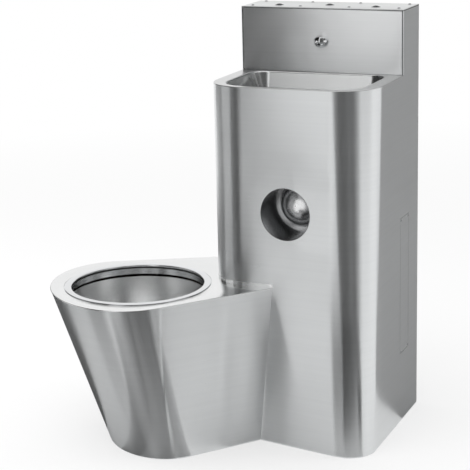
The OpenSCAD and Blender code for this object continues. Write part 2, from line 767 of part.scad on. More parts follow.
module at_bowl() {
    translate([bowl_c[0], bowl_c[1], 0]) children();
}
flush_z = spray_z - 2;
flush_path = [
    concat(button_places[0] + flush_dir * valve_r, flush_start_z),
    concat(flush_down, flush_start_z),
    concat(flush_down, flush_z),
    concat(bowl_c, flush_z)
];
module pan_bowl() {
    color("silver") difference() {
        at_bowl() rotate_extrude($fn = 96) polygon(concat(
            [[collar_in_r, top_z], [collar_in_r, channel_z]],
            bowl_curve(0),
            [[bowl_out_r, bowl_foot], [bowl_out_r + bowl_t, bowl_foot]],
            turned_back(bowl_curve(bowl_t)),
            [[collar_in_r + bowl_t, channel_z - bowl_t], [collar_in_r + bowl_t, top_z]]
        ));
        along(flush_path[2], flush_path[3]) cylinder(h = norm(flush_path[3] - flush_path[2]), r = flush_r - 2);
    }
}
module seat_ring() {
    roll = 3;
    color("white") at_bowl() rotate_extrude($fn = 96) polygon(concat(
        [[ring_hole_r - 0.4, top_z], [ring_hole_r - 0.4, rim_z + 0.6], [ring_hole_r - 1.4, rim_z + 1]],
        [for (a = [90, 120, 150, 180]) [seat_r + roll + roll * cos(a), rim_z + 1 - roll + roll * sin(a)]],
        [
            [seat_r, rim_z - seat_drop], [seat_r + bowl_t, rim_z - seat_drop], [seat_r + bowl_t, top_z - sheet_t],
            [ring_hole_r + 5, top_z - sheet_t], [ring_hole_r + 5, top_z]
        ]
    ));
}
module flush_ring() {
    color("peru") at_bowl() difference() {
        translate([0, 0, spray_z]) rotate_extrude($fn = 96) translate([collar_in_r - spray_r, 0]) difference() {
            circle(r = spray_r);
            circle(r = spray_r - spray_wall);
        }
        for (i = [0:SPRAY_HOLES - 1])
            rotate((i + 0.5) * 360 / SPRAY_HOLES) translate([collar_in_r - spray_r, 0, spray_z - 2 * spray_r])
                cylinder(h = 2 * spray_r, r = 2);
        along([0, 0, spray_z], concat(flush_down - bowl_c, spray_z))
            translate([0, 0, collar_in_r - spray_r]) cylinder(h = 2 * spray_r, r = spray_r / 2);
    }
}
module flush_pipe() {
    color("peru") difference() {
        elbow_bar(flush_path, flush_r, flush_r + elbow_over);
        elbow_bar(flush_path, flush_r - 1.5, flush_r - 1, CUT);
        at_bowl() cylinder(h = unit_h, r = collar_in_r + bowl_t);
        translate([button_places[0][0], button_places[0][1], 0]) cylinder(h = unit_h, r = valve_r);
    }
}

// Pan skirt, top and the strip along the tower
skirt_levels = [for (i = [0:FOOT_LEVELS]) top_z * i / FOOT_LEVELS];
module pan_skirt() {
    color("silver") difference() {
        loft([for (z = skirt_levels) level(pan_path(z), z)]);
        hollow(skirt_levels, [for (z = skirt_levels) pan_path(z, sheet_t, CUT)]);
        tower_block();
    }
}
module pan_top() {
    color("whitesmoke") difference() {
        loft([for (z = [top_z, rim_z]) level(pan_path(z), z)]);
        tower_block();
        at_bowl() translate([0, 0, top_z - CUT]) cylinder(h = sheet_t + 2 * CUT, r = ring_hole_r, $fn = 96);
    }
}
cove_t = 1;
module pan_cove() {
    color("gainsboro") difference() {
        intersection() {
            loft([for (z = [rim_z, rim_z + cove_h]) level(front_path(rim_z, -cove_t), z)]);
            loft([for (z = [rim_z, rim_z + cove_h]) level(pan_path(rim_z), z)]);
        }
        tower_block();
    }
}

// Pan trap and outlet, from the bowl to the wall
// The water stands up to the weir, which is higher than the top of the trap's floor run
trap_run = 120;
outlet_bend_y = -128;
weir_up = 15;
trap_end = [outlet_x, outlet_bend_y];
trap_turn = bowl_c - trap_run * pan_u;
trap_path = [
    concat(bowl_c, trap_mouth),
    concat(bowl_c, trap_floor),
    concat(trap_turn, trap_floor),
    concat(mix(trap_turn, trap_end, 0.76), outlet_z + weir_up),
    concat(trap_end, outlet_z),
    [outlet_x, 0, outlet_z]
];
module pan_trap() {
    color("slategray") difference() {
        elbow_bar(trap_path, outlet_r, outlet_r + elbow_over);
        elbow_bar(trap_path, outlet_r - trap_wall, outlet_r + elbow_over - trap_wall, CUT);
    }
}
seal_len = 12;
module outlet_seal() {
    color("black") translate([outlet_x, 0, outlet_z]) rotate([90, 0, 0]) difference() {
        union() {
            cylinder(h = seal_len, r = outlet_r + seal_t);
            translate([0, 0, sheet_t]) cylinder(h = seal_len - sheet_t, r = outlet_r + 2 * seal_t);
        }
        translate([0, 0, -CUT]) cylinder(h = seal_len + 2 * CUT, r = outlet_r);
    }
}

// Base angles in the tower and the foot plate in the pan
angle_w = 40;
angle_t = 3;
angle_len = floor_back + floor_pitch_y + 30;
module base_angles() {
    color("dimgray") for (side = [0, 1]) mirror([side, 0, 0]) difference() {
        translate([inner_w - angle_w, -angle_len, 0]) cube([angle_w, angle_len - sheet_t, angle_w]);
        translate([inner_w - angle_w - CUT, -angle_len - CUT, angle_t])
            cube([angle_w - angle_t + CUT, angle_len + 2 * CUT, angle_w]);
        for (y = [floor_back, floor_back + floor_pitch_y])
            translate([half_w - floor_inset, -y, -CUT]) cylinder(h = angle_t + 2 * CUT, r = floor_hole_r);
    }
}
foot_u = 10;
foot_hole_u = 42;
foot_hole_n = 88;
module pan_foot() {
    color("dimgray") difference() {
        intersection() {
            loft([for (z = [0, angle_t]) level(pan_path(z, sheet_t), z)]);
            translate([bowl_c[0], bowl_c[1], -CUT]) rotate(atan2(pan_u[1], pan_u[0]))
                translate([foot_u, -rim_half, 0]) cube([foot_reach, 2 * rim_half, 2 * angle_w]);
        }
        for (n = [-1, 1]) {
            p = on_pan(foot_hole_u, n * foot_hole_n);
            translate([p[0], p[1], -CUT]) cylinder(h = angle_t + 2 * CUT, r = floor_hole_r);
        }
    }
}

body_shell();
back_plate();
basin_deck();
splash_panel();
top_lid();
lid_rails();
lid_screws();
deck_brackets();
basin_bowl();
basin_waste();
waste_nut();
basin_trap();
waste_pipe();
paper_pocket();
pocket_dome();
access_frame();
access_panel();
access_screws();
spout();
spout_nut();
mixing_pipe();
flush_button();
cold_button();
hot_button();
button_bushes();
flush_spring();
cold_spring();
hot_spring();
flush_valve();
cold_valve();
hot_valve();
cold_supply();
hot_supply();
flush_supply();
flush_pipe();
pan_skirt();
pan_top();
pan_cove();
seat_ring();
pan_bowl();
flush_ring();
pan_trap();
outlet_seal();
base_angles();
pan_foot();
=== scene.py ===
from math import asin, atan, atan2, cos, degrees, hypot, pi, radians, sin, sqrt, tan

import bmesh
import bpy
from mathutils import Matrix, Vector
from mathutils.geometry import delaunay_2d_cdt


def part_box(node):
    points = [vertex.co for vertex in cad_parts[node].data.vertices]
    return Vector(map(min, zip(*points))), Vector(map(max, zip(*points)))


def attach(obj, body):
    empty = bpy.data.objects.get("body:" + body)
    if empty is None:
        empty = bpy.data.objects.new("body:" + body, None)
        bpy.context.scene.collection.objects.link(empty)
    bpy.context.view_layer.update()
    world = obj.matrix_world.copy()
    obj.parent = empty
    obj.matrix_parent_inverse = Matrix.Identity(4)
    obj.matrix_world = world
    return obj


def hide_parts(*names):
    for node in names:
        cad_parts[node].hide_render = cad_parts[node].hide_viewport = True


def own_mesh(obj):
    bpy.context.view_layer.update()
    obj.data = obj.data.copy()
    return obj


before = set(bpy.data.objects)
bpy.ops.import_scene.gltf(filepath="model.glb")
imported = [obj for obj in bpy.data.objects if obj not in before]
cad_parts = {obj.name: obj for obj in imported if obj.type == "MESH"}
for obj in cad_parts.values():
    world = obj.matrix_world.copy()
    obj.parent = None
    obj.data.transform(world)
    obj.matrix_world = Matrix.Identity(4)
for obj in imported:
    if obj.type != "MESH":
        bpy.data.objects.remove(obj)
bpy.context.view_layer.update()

# The tower casing is one sheet of stainless steel, 2 mm thick, folded round the left corner, the front
# and the right corner. Below the pan's rim a press brake put a fold in the front, so that the foot turns
# out to the right. The sheet was ground along its length, so its grain lies level on every upright wall.
HALF_W = 210
DECK_Z = 885
RIM_Z = 400
FRONT_Y = -388
BOX_Y = -128
SHEET = 2
CORNER_R = 95
FOOT_CORNER_R = 66
FRONT_TURN = 10.5
CREASE_RUN = 113
FOLD_TOP = (-36.7, -388)
FOLD_FOOT = (-79.0, -380.1)
POCKET_Z = 585
POCKET_R = 64
PATCH = 90
ACCESS_Y = (-150, -80)
ACCESS_Z = (182, 533)
LID_Z = 1041
JOINT = 1.5
WALL_STEPS = 15
CORNER_STEPS = 16
LEFT_STEPS = 6
FOLD_STEPS = 8
LEAD_STEPS = 3
PATCH_STEPS = 18
ACCESS_STEPS = 3
BACK_STEPS = 4


def mix(a, b, k):
    return a + (b - a) * k


def spaced(a, b, steps):
    """Even steps from a value to another, without the first value."""
    return [mix(a, b, i / steps) for i in range(1, steps + 1)]


def eased(k):
    k = min(1, max(0, k))
    return k * k * (3 - 2 * k)


def level_turn(z):
    return tan(radians(FRONT_TURN)) * max(0, 1 - z / DECK_Z)


def fold_ends(down):
    """Left and right end of the fold, for a share of the way from the rim down to the floor."""
    left = (mix(FOLD_TOP[0] - 4, FOLD_FOOT[0], down), mix(FOLD_TOP[1], FOLD_FOOT[1], down))
    right = (FOLD_TOP[0] + CREASE_RUN * down, FOLD_TOP[1] - CREASE_RUN * tan(radians(FRONT_TURN)) * down)
    return left, right


def front_y(x, z):
    """The front of the tower above the rim, where the fold dies out in a soft swell."""
    soft = 70 * eased((z - RIM_Z) / 60) + 0.01
    past = x - FOLD_TOP[0]
    rise = max(0, past) if abs(past) > soft else (past + soft) ** 2 / (4 * soft)
    return FRONT_Y - rise * level_turn(z)


def right_corner(z):
    """Centre and radius of the right front corner at a height."""
    r = mix(FOOT_CORNER_R, CORNER_R, min(1, z / DECK_Z))
    x = HALF_W - r
    fold = fold_ends(max(0, 1 - z / RIM_Z))[1]
    slope = level_turn(z)
    return x, fold[1] - (x - fold[0]) * slope + r * hypot(1, slope), r


def casing_row(z):
    """Points of the casing's outline at a height, from the wall on the left to the wall on the right."""
    left_y = FRONT_Y + CORNER_R
    row = [(-HALF_W, left_y * i / WALL_STEPS) for i in range(WALL_STEPS)]
    for i in range(CORNER_STEPS + 1):
        a = radians(180 + 90 * i / CORNER_STEPS)
        row.append((-HALF_W + CORNER_R + CORNER_R * cos(a), left_y + CORNER_R * sin(a)))
    cx, cy, r = right_corner(z)
    turn = atan(level_turn(z))
    start = (cx - r * sin(turn), cy - r * cos(turn))
    left, right = fold_ends(max(0, 1 - z / RIM_Z))
    low = spaced(row[-1][0], left[0], LEFT_STEPS) + spaced(left[0], right[0], FOLD_STEPS)
    low += spaced(right[0], start[0], 12)[:-1]
    high = spaced(row[-1][0], -PATCH, LEAD_STEPS) + spaced(-PATCH, PATCH, PATCH_STEPS)
    high += spaced(PATCH, start[0], 5)[:-1]
    spread = eased((z - RIM_Z) / (POCKET_Z - PATCH - RIM_Z))
    for i, (a, b) in enumerate(zip(low, high)):
        x = mix(a, b, spread)
        if z > RIM_Z:
            row.append((x, front_y(x, z)))
        elif i < LEFT_STEPS:
            row.append((x, mix(FRONT_Y, left[1], (i + 1) / LEFT_STEPS)))
        elif i < LEFT_STEPS + FOLD_STEPS:
            row.append((x, mix(left[1], right[1], (i + 1 - LEFT_STEPS) / FOLD_STEPS)))
        else:
            row.append((x, right[1] - (x - right[0]) * level_turn(z)))
    for i in range(CORNER_STEPS + 1):
        a = mix(turn, pi / 2, i / CORNER_STEPS)
        row.append((cx + r * sin(a), cy - r * cos(a)))
    side = spaced(cy, ACCESS_Y[0], 6) + spaced(*ACCESS_Y, ACCESS_STEPS) + spaced(ACCESS_Y[1], 0, BACK_STEPS)
    return row + [(HALF_W, y) for y in side]


def in_scene(name, data):
    """Puts a mesh, a lamp or a camera into the scene."""
    made = bpy.data.objects.new(name, data)
    bpy.context.scene.collection.objects.link(made)
    return made


def raw_piece(name, points, faces):
    """Puts a mesh with points in millimetres into the scene."""
    mesh = bpy.data.meshes.new(name)
    mesh.from_pydata([(x / 1000, y / 1000, z / 1000) for x, y, z in points], [], faces)
    return in_scene(name, mesh)


def made_piece(name, points, faces, sharp=30, outwards=True):
    """A piece of the unit. Edges sharper than an angle stay crisp."""
    piece = raw_piece(name, points, faces)
    work = bmesh.new()
    work.from_mesh(piece.data)
    bmesh.ops.remove_doubles(work, verts=work.verts, dist=1e-6)
    bmesh.ops.delete(work, geom=[v for v in work.verts if not v.link_faces], context="VERTS")
    if outwards:
        bmesh.ops.recalc_face_normals(work, faces=work.faces)
    work.to_mesh(piece.data)
    work.free()
    crisp(piece, sharp)
    return piece


def crisp(piece, sharp=30):
    for face in piece.data.polygons:
        face.use_smooth = True
    piece.data.set_sharp_from_angle(angle=radians(sharp))


def settled(piece, sharp=30):
    """Works the piece's modifiers into a plain mesh."""
    graph = bpy.context.evaluated_depsgraph_get()
    mesh = bpy.data.meshes.new_from_object(piece.evaluated_get(graph))
    piece.modifiers.clear()
    piece.data = mesh
    crisp(piece, sharp)
    return piece


def thickened(piece, wall, sharp=30):
    """Gives a skin its wall, on the inner side."""
    shell = piece.modifiers.new("wall", "SOLIDIFY")
    shell.thickness = wall / 1000
    shell.offset = -1
    shell.use_even_offset = True
    settled(piece, sharp)


class Wire:
    """A socket that is worked with like a number."""

    def __init__(self, board, socket):
        self.board = board
        self.socket = socket

    def other(self, name):
        return Wire(self.board, self.socket.node.outputs[name])

    def __add__(self, value):
        return self.board.maths("ADD", self, value)

    def __radd__(self, value):
        return self.board.maths("ADD", value, self)

    def __sub__(self, value):
        return self.board.maths("SUBTRACT", self, value)

    def __rsub__(self, value):
        return self.board.maths("SUBTRACT", value, self)

    def __mul__(self, value):
        return self.board.maths("MULTIPLY", self, value)

    def __rmul__(self, value):
        return self.board.maths("MULTIPLY", value, self)

    def __truediv__(self, value):
        return self.board.maths("DIVIDE", self, value)

    def __rtruediv__(self, value):
        return self.board.maths("DIVIDE", value, self)


class Board:
    """A node tree that nodes are laid on, one call for each."""

    def __init__(self, tree):
        self.tree = tree

    def feed(self, socket, value):
        if isinstance(value, Wire):
            self.tree.links.new(value.socket, socket)
        else:
            socket.default_value = value

    def node(self, kind, settings=None, sockets=None, output=0):
        made = self.tree.nodes.new(kind)
        for key, value in (settings or {}).items():
            setattr(made, key, value)
        for key, value in (sockets or {}).items():
            self.feed(made.inputs[key], value)
        return Wire(self, made.outputs[output]) if made.outputs else None

    def maths(self, operation, *values):
        return self.node("ShaderNodeMath", {"operation": operation}, dict(enumerate(values)))


def clouds(board, place, grain, detail=2, rough=0.5):
    """Noise stretched along the grain. The grain is its count of waves in a metre, each way."""
    along = board.node("ShaderNodeVectorMath", {"operation": "MULTIPLY"}, {0: place, 1: grain})
    values = {"Vector": along, "Scale": 1, "Detail": detail, "Roughness": rough}
    return board.node("ShaderNodeTexNoise", {}, values)


def new_paint(name):
    """A new material, the board of its nodes and its shader."""
    material = bpy.data.materials.new(name)
    material.use_nodes = True
    tree = material.node_tree
    return material, Board(tree), tree.nodes["Principled BSDF"]


def coated(board, shader, shade, tone, roughness, bump):
    """Gives a shader its colour, its roughness and its fine relief."""
    colour = board.node("ShaderNodeVectorMath", {"operation": "SCALE"}, {0: shade, "Scale": tone})
    board.feed(shader.inputs["Base Color"], colour)
    board.feed(shader.inputs["Roughness"], roughness)
    board.feed(shader.inputs["Normal"], board.node("ShaderNodeBump", {}, bump))


def ground_steel(name, shade, roughness, grain, stretch=0.5, lines=0.06, scratch=0.12):
    """Ground stainless steel: fine lines along the grain, broader streaks and faint smears over them."""
    material, board, shader = new_paint(name)
    place = board.node("ShaderNodeTexCoord", output="Object")
    fine = clouds(board, place, grain, 3, 0.6)
    streak = clouds(board, place, [g / 7 for g in grain], 2)
    smear = clouds(board, place, (7, 7, 5), 3)
    tone = 1 + (fine - 0.5) * lines + (streak - 0.5) * lines + (smear - 0.5) * lines * 0.8
    roughness = roughness + (fine - 0.5) * 0.1 + (smear - 0.5) * 0.08
    bump = {"Strength": scratch, "Distance": 0.0004, "Height": fine}
    coated(board, shader, shade, tone, roughness, bump)
    shader.inputs["Metallic"].default_value = 1
    shader.inputs["Anisotropic"].default_value = stretch
    shader.inputs["Anisotropic Rotation"].default_value = 0.25
    return material


LEVEL_GRAIN = (5, 5, 900)
BRUSHED = ground_steel("brushed steel", (0.75, 0.765, 0.77), 0.31, LEVEL_GRAIN, 1.0)


def dressed(piece, material, body, slot, *nodes):
    """Finishes a piece: its material, its body and the nodes of the frame that it stands for. The slot is
    not used.
    """
    piece.data.materials.clear()
    piece.data.materials.append(material)
    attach(piece, body)
    if nodes:
        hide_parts(*nodes)


def pipe_gap(point, a, b):
    """Distance of a point from a pipe's middle line."""
    point, a, b = Vector(point), Vector(a), Vector(b)
    k = min(1, max(0, (point - a).dot(b - a) / (b - a).length_squared))
    return (point - a - k * (b - a)).length


def on_edge(z, edge):
    """The height of a row, moved onto the edge of the access opening where it lies within 3 mm."""
    return edge if abs(z - edge) < 3 else z


# Two pipes pass through the casing. Each has its two ends and the radius of its opening.
OUTLET_WAY = ((-271.7, -377.5, 52), (-110.8, -187.9, 205), 52)
FLUSH_WAY = ((-160, -110, 383), (-365, -453, 383), 20)
PIPE_CLEAR = 8
LOW_STEP = 20
PATCH_STEP = 10
patch_heights = range(POCKET_Z - PATCH + PATCH_STEP, POCKET_Z + PATCH + 1, PATCH_STEP)
casing_rows = [on_edge(z, ACCESS_Z[0]) for z in range(0, RIM_Z + 1, LOW_STEP)]
casing_rows += spaced(RIM_Z, POCKET_Z - PATCH, 5)
casing_rows += [on_edge(z, ACCESS_Z[1]) for z in patch_heights]
casing_rows += spaced(POCKET_Z + PATCH, DECK_Z - SHEET, 8)
casing_points = []
for z in casing_rows:
    casing_points += [(x, y, z) for x, y in casing_row(z)]
ROW = len(casing_row(0))
PATCH_FIRST = WALL_STEPS + CORNER_STEPS + LEAD_STEPS
PATCH_LAST = PATCH_FIRST + PATCH_STEPS
ACCESS_LAST = ROW - 1 - BACK_STEPS
casing_faces = []
for j in range(len(casing_rows) - 1):
    for i in range(ROW - 1):
        corners = [j * ROW + i, j * ROW + i + 1, (j + 1) * ROW + i + 1, (j + 1) * ROW + i]
        middle = [sum(casing_points[c][k] for c in corners) / 4 for k in range(3)]
        in_patch = PATCH_FIRST <= i < PATCH_LAST and abs(middle[2] - POCKET_Z) < PATCH
        in_access = ACCESS_LAST - ACCESS_STEPS <= i < ACCESS_LAST and ACCESS_Z[0] < middle[2] < ACCESS_Z[1]
        at_pipe = any(pipe_gap(middle, a, b) < r + PIPE_CLEAR for a, b, r in (OUTLET_WAY, FLUSH_WAY))
        if not (in_patch or in_access or at_pipe):
            casing_faces.append(corners)
patch_rows = [j for j, z in enumerate(casing_rows) if abs(z - POCKET_Z) < PATCH + 0.1]
low_row, high_row = patch_rows[0], patch_rows[-1]
rim_loop = [low_row * ROW + i for i in range(PATCH_FIRST, PATCH_LAST)]
rim_loop += [j * ROW + PATCH_LAST for j in range(low_row, high_row)]
rim_loop += [high_row * ROW + i for i in range(PATCH_LAST, PATCH_FIRST, -1)]
rim_loop += [j * ROW + PATCH_FIRST for j in range(high_row, low_row, -1)]
PATCH_RINGS = 5
loops = [rim_loop]
for ring in range(1, PATCH_RINGS + 1):
    loop = []
    for n, corner in enumerate(rim_loop):
        x, y, z = casing_points[corner]
        a = radians(225 + 360 * n / len(rim_loop))
        k = ring / PATCH_RINGS
        px = mix(x, POCKET_R * cos(a), k)
        pz = mix(z, POCKET_Z + POCKET_R * sin(a), k)
        loop.append(len(casing_points))
        casing_points.append((px, front_y(px, pz), pz))
    loops.append(loop)
for outer, inner in zip(loops, loops[1:]):
    for n in range(len(outer)):
        m = (n + 1) % len(outer)
        casing_faces.append([outer[n], outer[m], inner[m], inner[n]])
strip_z = [DECK_Z - SHEET, DECK_Z + 40, DECK_Z + 80, DECK_Z + 120, LID_Z - JOINT]
for side in (-1, 1):
    first = len(casing_points)
    for z in strip_z:
        casing_points += [(side * HALF_W, BOX_Y * i / 4, z) for i in range(5)]
    for j in range(len(strip_z) - 1):
        for i in range(4):
            a = first + j * 5 + i
            quad = [a, a + 1, a + 6, a + 5]
            casing_faces.append(quad if side < 0 else quad[::-1])
casing = made_piece("casing", casing_points, casing_faces, 30, outwards=False)
thickened(casing, SHEET)
dressed(casing, BRUSHED, "unit", "brushed_casing", "body_shell")

# The paper pocket is a short tube welded into the front, and its back is closed by a spun dish that
# swells forwards. The tube's steel is darkened as painted shade and the dish's lightened as painted light,
# and the tube's front edge is ground round.
POCKET_DEPTH = 114
POCKET_WALL = 1.5
DOME_R = 55
DOME_H = 46
# Painted shade: the tube's steel is much darker than the dish's, standing in for the shade inside the
# recess.
POCKET_SHADE_STEEL = ground_steel("spun steel, painted shade", (0.4, 0.405, 0.41), 0.2, (40, 40, 300), 0.0, 0.04, 0.02)
# Painted light: the dish's steel is lighter, standing in for the light that falls on it through the
# opening.
DISH_LIT_STEEL = ground_steel("dished steel, painted light", (0.92, 0.925, 0.93), 0.26, (60, 60, 60), 0.0, 0.04, 0.02)


def wrapped(steps, count, closed=True):
    """The faces round an axis between a number of profiles of as many points each."""
    faces = []
    for j in range(steps):
        k = (j + 1) % steps
        for i in range(count if closed else count - 1):
            m = (i + 1) % count
            faces.append([j * count + i, k * count + i, k * count + m, j * count + m])
    return faces


def lathe(name, profile, centre, axis="Z", steps=96, sharp=30, closed=False):
    """Turns a profile of radius and height, in millimetres, round an axis."""
    points = []
    for j in range(steps):
        a = 2 * pi * j / steps
        for r, h in profile:
            if axis == "Z":
                points.append((centre[0] + r * cos(a), centre[1] + r * sin(a), centre[2] + h))
            else:
                points.append((centre[0] + r * cos(a), centre[1] - h, centre[2] + r * sin(a)))
    return made_piece(name, points, wrapped(steps, len(profile), closed), sharp)


def arc(cx, cy, r, start, end, steps):
    """Points along a round stretch, from one angle in degrees to another."""
    turns = [radians(mix(start, end, i / steps)) for i in range(steps + 1)]
    return [(cx + r * cos(a), cy + r * sin(a)) for a in turns]


def crown(r, turn, drop, steps):
    """The profile of a ball's cap, from its top out to an angle in degrees."""
    turns = [radians(turn * i / steps) for i in range(steps + 1)]
    return [(max(0.01, r * sin(a)), r * cos(a) - drop) for a in turns]


pocket_points = []
TUBE_STEPS = 96
bore_r = POCKET_R - POCKET_WALL
tube_rows = [(POCKET_R, "edge", 0), (POCKET_R - 0.2, "edge", 0.5), (POCKET_R - 0.8, "edge", 0.75),
             (POCKET_R - 1.3, "edge", 0.5), (bore_r, "edge", 0), (bore_r, "edge", -5),
             (bore_r, "back", 3), (bore_r, "back", 0), (POCKET_R, "back", 0)]
for n in range(TUBE_STEPS):
    a = 2 * pi * n / TUBE_STEPS
    for r, end, out in tube_rows:
        x, z = r * cos(a), POCKET_Z + r * sin(a)
        face = front_y(POCKET_R * cos(a), POCKET_Z + POCKET_R * sin(a))
        y = face - out if end == "edge" else FRONT_Y + POCKET_DEPTH - out
        pocket_points.append((x, y, z))
pocket_tube = made_piece("pocket_tube", pocket_points, wrapped(TUBE_STEPS, len(tube_rows)), 40)
dressed(pocket_tube, POCKET_SHADE_STEEL, "unit", "satin_sheet", "paper_pocket")
dome_r = (DOME_R ** 2 + DOME_H ** 2) / (2 * DOME_H)
dome_turn = degrees(asin(DOME_R / dome_r))
drop = dome_r - DOME_H
dome_profile = crown(dome_r, dome_turn, drop, 20) + arc(DOME_R + 2.5, 2.5, 2.5, 210, 270, 4)
dome_profile += [(POCKET_R - 1.6, 0), (POCKET_R, 0), (POCKET_R, -POCKET_WALL)]
dome_profile.append((DOME_R - POCKET_WALL, -POCKET_WALL))
dome_profile += crown(dome_r - POCKET_WALL, dome_turn, drop, 20)[::-1]
dome = lathe("dished_back", dome_profile, (0, FRONT_Y + POCKET_DEPTH, POCKET_Z), "Y", 96, 40, True)
dressed(dome, DISH_LIT_STEEL, "unit", "polished_steel", "pocket_dome")

# The basin and the deck round it are pressed from one sheet, so the opening rolls over in a soft edge and
# the deck's outer edge turns down over the casing. The deck is satin, its steel darkened as painted shade,
# and the bowl keeps its press shine.
BASIN_HALF = 172
BASIN_FRONT = -369
BASIN_BACK = -140
BASIN_FRONT_R = 60
BASIN_BACK_R = 40
BASIN_DEPTH = 138
BASIN_LEAN = (0.4, 0.22)
BASIN_FLOOR_R = 34
LEAST_R = 26
LIP_R = 5
WASTE_R = 17
PRESSED_SHEET = 1.4
BOWL_BELOW = DECK_Z - 1.6
BOWL_WITHIN = 180
LIP_STEPS = 6
SWEEP_STEPS = 10
SATIN = ground_steel("satin steel", (0.8, 0.805, 0.805), 0.2, (300, 300, 300), 0.0, 0.04, 0.08)
# Painted shade: the deck's steel is darker than the pan's satin steel, for the darker tone the deck shows.
DECK_SHADE_STEEL = ground_steel("deck steel, painted shade", (0.64, 0.645, 0.645), 0.3, (300, 300, 300), 0.0, 0.04, 0.08)
PRESSED = ground_steel("pressed steel", (0.78, 0.79, 0.79), 0.2, (14, 14, 14), 0.0, 0.04, 0.1)


def basin_loop(e, f, steps=14):
    """The basin's rounded oblong, drawn in by e at its sides and by f at its front and back."""
    x, low, high = BASIN_HALF - e, BASIN_FRONT + f, BASIN_BACK - f
    front_r = max(BASIN_FRONT_R - max(e, f), LEAST_R)
    back_r = max(BASIN_BACK_R - max(e, f), LEAST_R)
    loop = arc(-x + back_r, high - back_r, back_r, 90, 180, steps)
    loop += arc(-x + front_r, low + front_r, front_r, 180, 270, steps)
    loop += arc(x - front_r, low + front_r, front_r, 270, 360, steps)
    loop += arc(x - back_r, high - back_r, back_r, 0, 90, steps)
    return loop


def deck_loop(e):
    """The deck's outline in front of the box, drawn in by e."""
    loop = [(-HALF_W + e, BOX_Y)]
    loop += arc(-HALF_W + CORNER_R, FRONT_Y + CORNER_R, CORNER_R - e, 180, 270, 20)
    loop += arc(HALF_W - CORNER_R, FRONT_Y + CORNER_R, CORNER_R - e, 270, 360, 20)
    return loop + [(HALF_W - e, BOX_Y)]


def stacked(points, faces, loops, closed=True):
    """Adds loops of points, one over the other, with faces between them."""
    starts = []
    for loop in loops:
        starts.append(len(points))
        points.extend(loop)
    count = len(loops[0])
    for a, b in zip(starts, starts[1:]):
        for i in range(count if closed else count - 1):
            j = (i + 1) % count
            faces.append([a + i, a + j, b + j, b + i])


def filled(points, faces, outer, inner, z):
    """Fills the flat between an outer and an inner loop with triangles."""
    flat = [Vector(p[:2]) for p in outer + inner]
    edges = [(i, (i + 1) % len(outer)) for i in range(len(outer))]
    first = len(outer)
    edges += [(first + i, first + (i + 1) % len(inner)) for i in range(len(inner))]
    spots, _, made, _, _, _ = delaunay_2d_cdt(flat, edges, [], 2, 1e-5)
    hole = flat[first:]
    start = len(points)
    points.extend((p.x, p.y, z) for p in spots)
    for face in made:
        middle = sum((spots[i] for i in face), Vector((0, 0))) / len(face)
        if not inside(middle, hole):
            faces.append([start + i for i in face])


def inside(point, loop):
    crossings = 0
    for a, b in zip(loop, loop[1:] + loop[:1]):
        if (a.y > point.y) != (b.y > point.y):
            if point.x < a.x + (point.y - a.y) * (b.x - a.x) / (b.y - a.y):
                crossings += 1
    return crossings % 2 == 1


deck_points, deck_faces = [], []
edge_rows = [(0, -SHEET), (0, -1.9), (0.27, -1), (0.8, -0.35), (1.9, 0), (3, 0)]
deck_rows = [[(x, y, DECK_Z + h) for x, y in deck_loop(e)] for e, h in edge_rows]
stacked(deck_points, deck_faces, deck_rows, False)
mouth_loop = basin_loop(-LIP_R - 2, -LIP_R - 2)
filled(deck_points, deck_faces, deck_rows[-1], mouth_loop, DECK_Z)
floor_z = DECK_Z - SHEET - BASIN_DEPTH
wall_h = DECK_Z - LIP_R - floor_z - BASIN_FLOOR_R
basin_rows = [[(x, y, DECK_Z) for x, y in mouth_loop]]
for i in range(LIP_STEPS + 1):
    a = radians(90 * i / LIP_STEPS)
    e = -LIP_R * (1 - sin(a))
    basin_rows.append([(x, y, DECK_Z - LIP_R + LIP_R * cos(a)) for x, y in basin_loop(e, e)])
for i in range(1, SWEEP_STEPS + 1):
    h = wall_h * i / SWEEP_STEPS
    wall_loop = basin_loop(BASIN_LEAN[0] * h, BASIN_LEAN[1] * h)
    basin_rows.append([(x, y, DECK_Z - LIP_R - h) for x, y in wall_loop])
for i in range(1, SWEEP_STEPS + 1):
    a = radians(90 * i / SWEEP_STEPS)
    run = BASIN_FLOOR_R * (1 - cos(a))
    e, f = BASIN_LEAN[0] * wall_h + run, BASIN_LEAN[1] * wall_h + run
    basin_rows.append([(x, y, floor_z + BASIN_FLOOR_R * (1 - sin(a))) for x, y in basin_loop(e, f)])
stacked(deck_points, deck_faces, basin_rows)
waste_y = (BASIN_FRONT + BASIN_BACK) / 2
waste_loop = [(x, y + waste_y) for x, y in arc(0, 0, WASTE_R, 0, 354, 59)]
filled(deck_points, deck_faces, basin_rows[-1], waste_loop, floor_z)
basin = made_piece("basin_and_deck", deck_points, deck_faces, 35)
thickened(basin, PRESSED_SHEET, 35)
dressed(basin, DECK_SHADE_STEEL, "unit", "satin_sheet", "basin_deck", "basin_bowl")
basin.data.materials.append(PRESSED)
for face in basin.data.polygons:
    x, _, z = face.center * 1000
    face.material_index = 1 if z < BOWL_BELOW and abs(x) < BOWL_WITHIN else 0

# The splash panel closes the front of the box, and the lid lies over it on two rails. Both are cut from
# the casing's sheet and ground along their length; the panel's steel is lightened as painted light and the
# lid's darkened as painted shade. Thin black strips fill the joints round the panel and under the lid as
# painted shade in the narrow gaps.
SPOUT_Z = 963
PANEL_HOLE_R = 7.2
# Painted light: the panel's steel is lighter than the casing's, though it is the same sheet.
PANEL_LIT_STEEL = ground_steel("panel steel, painted light", (0.86, 0.87, 0.875), 0.31, LEVEL_GRAIN, 1.0)
LID_GRAIN = (5, 900, 5)
# Painted shade: the lid's steel is darker than the casing's, though it is the same sheet.
LID_SHADE_STEEL = ground_steel("lid steel, painted shade", (0.64, 0.65, 0.65), 0.3, LID_GRAIN, 0.5)


def painted(material, *nodes):
    """Gives nodes of the frame their finish."""
    for name in nodes:
        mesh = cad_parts[name].data
        mesh.materials.clear()
        mesh.materials.append(material)


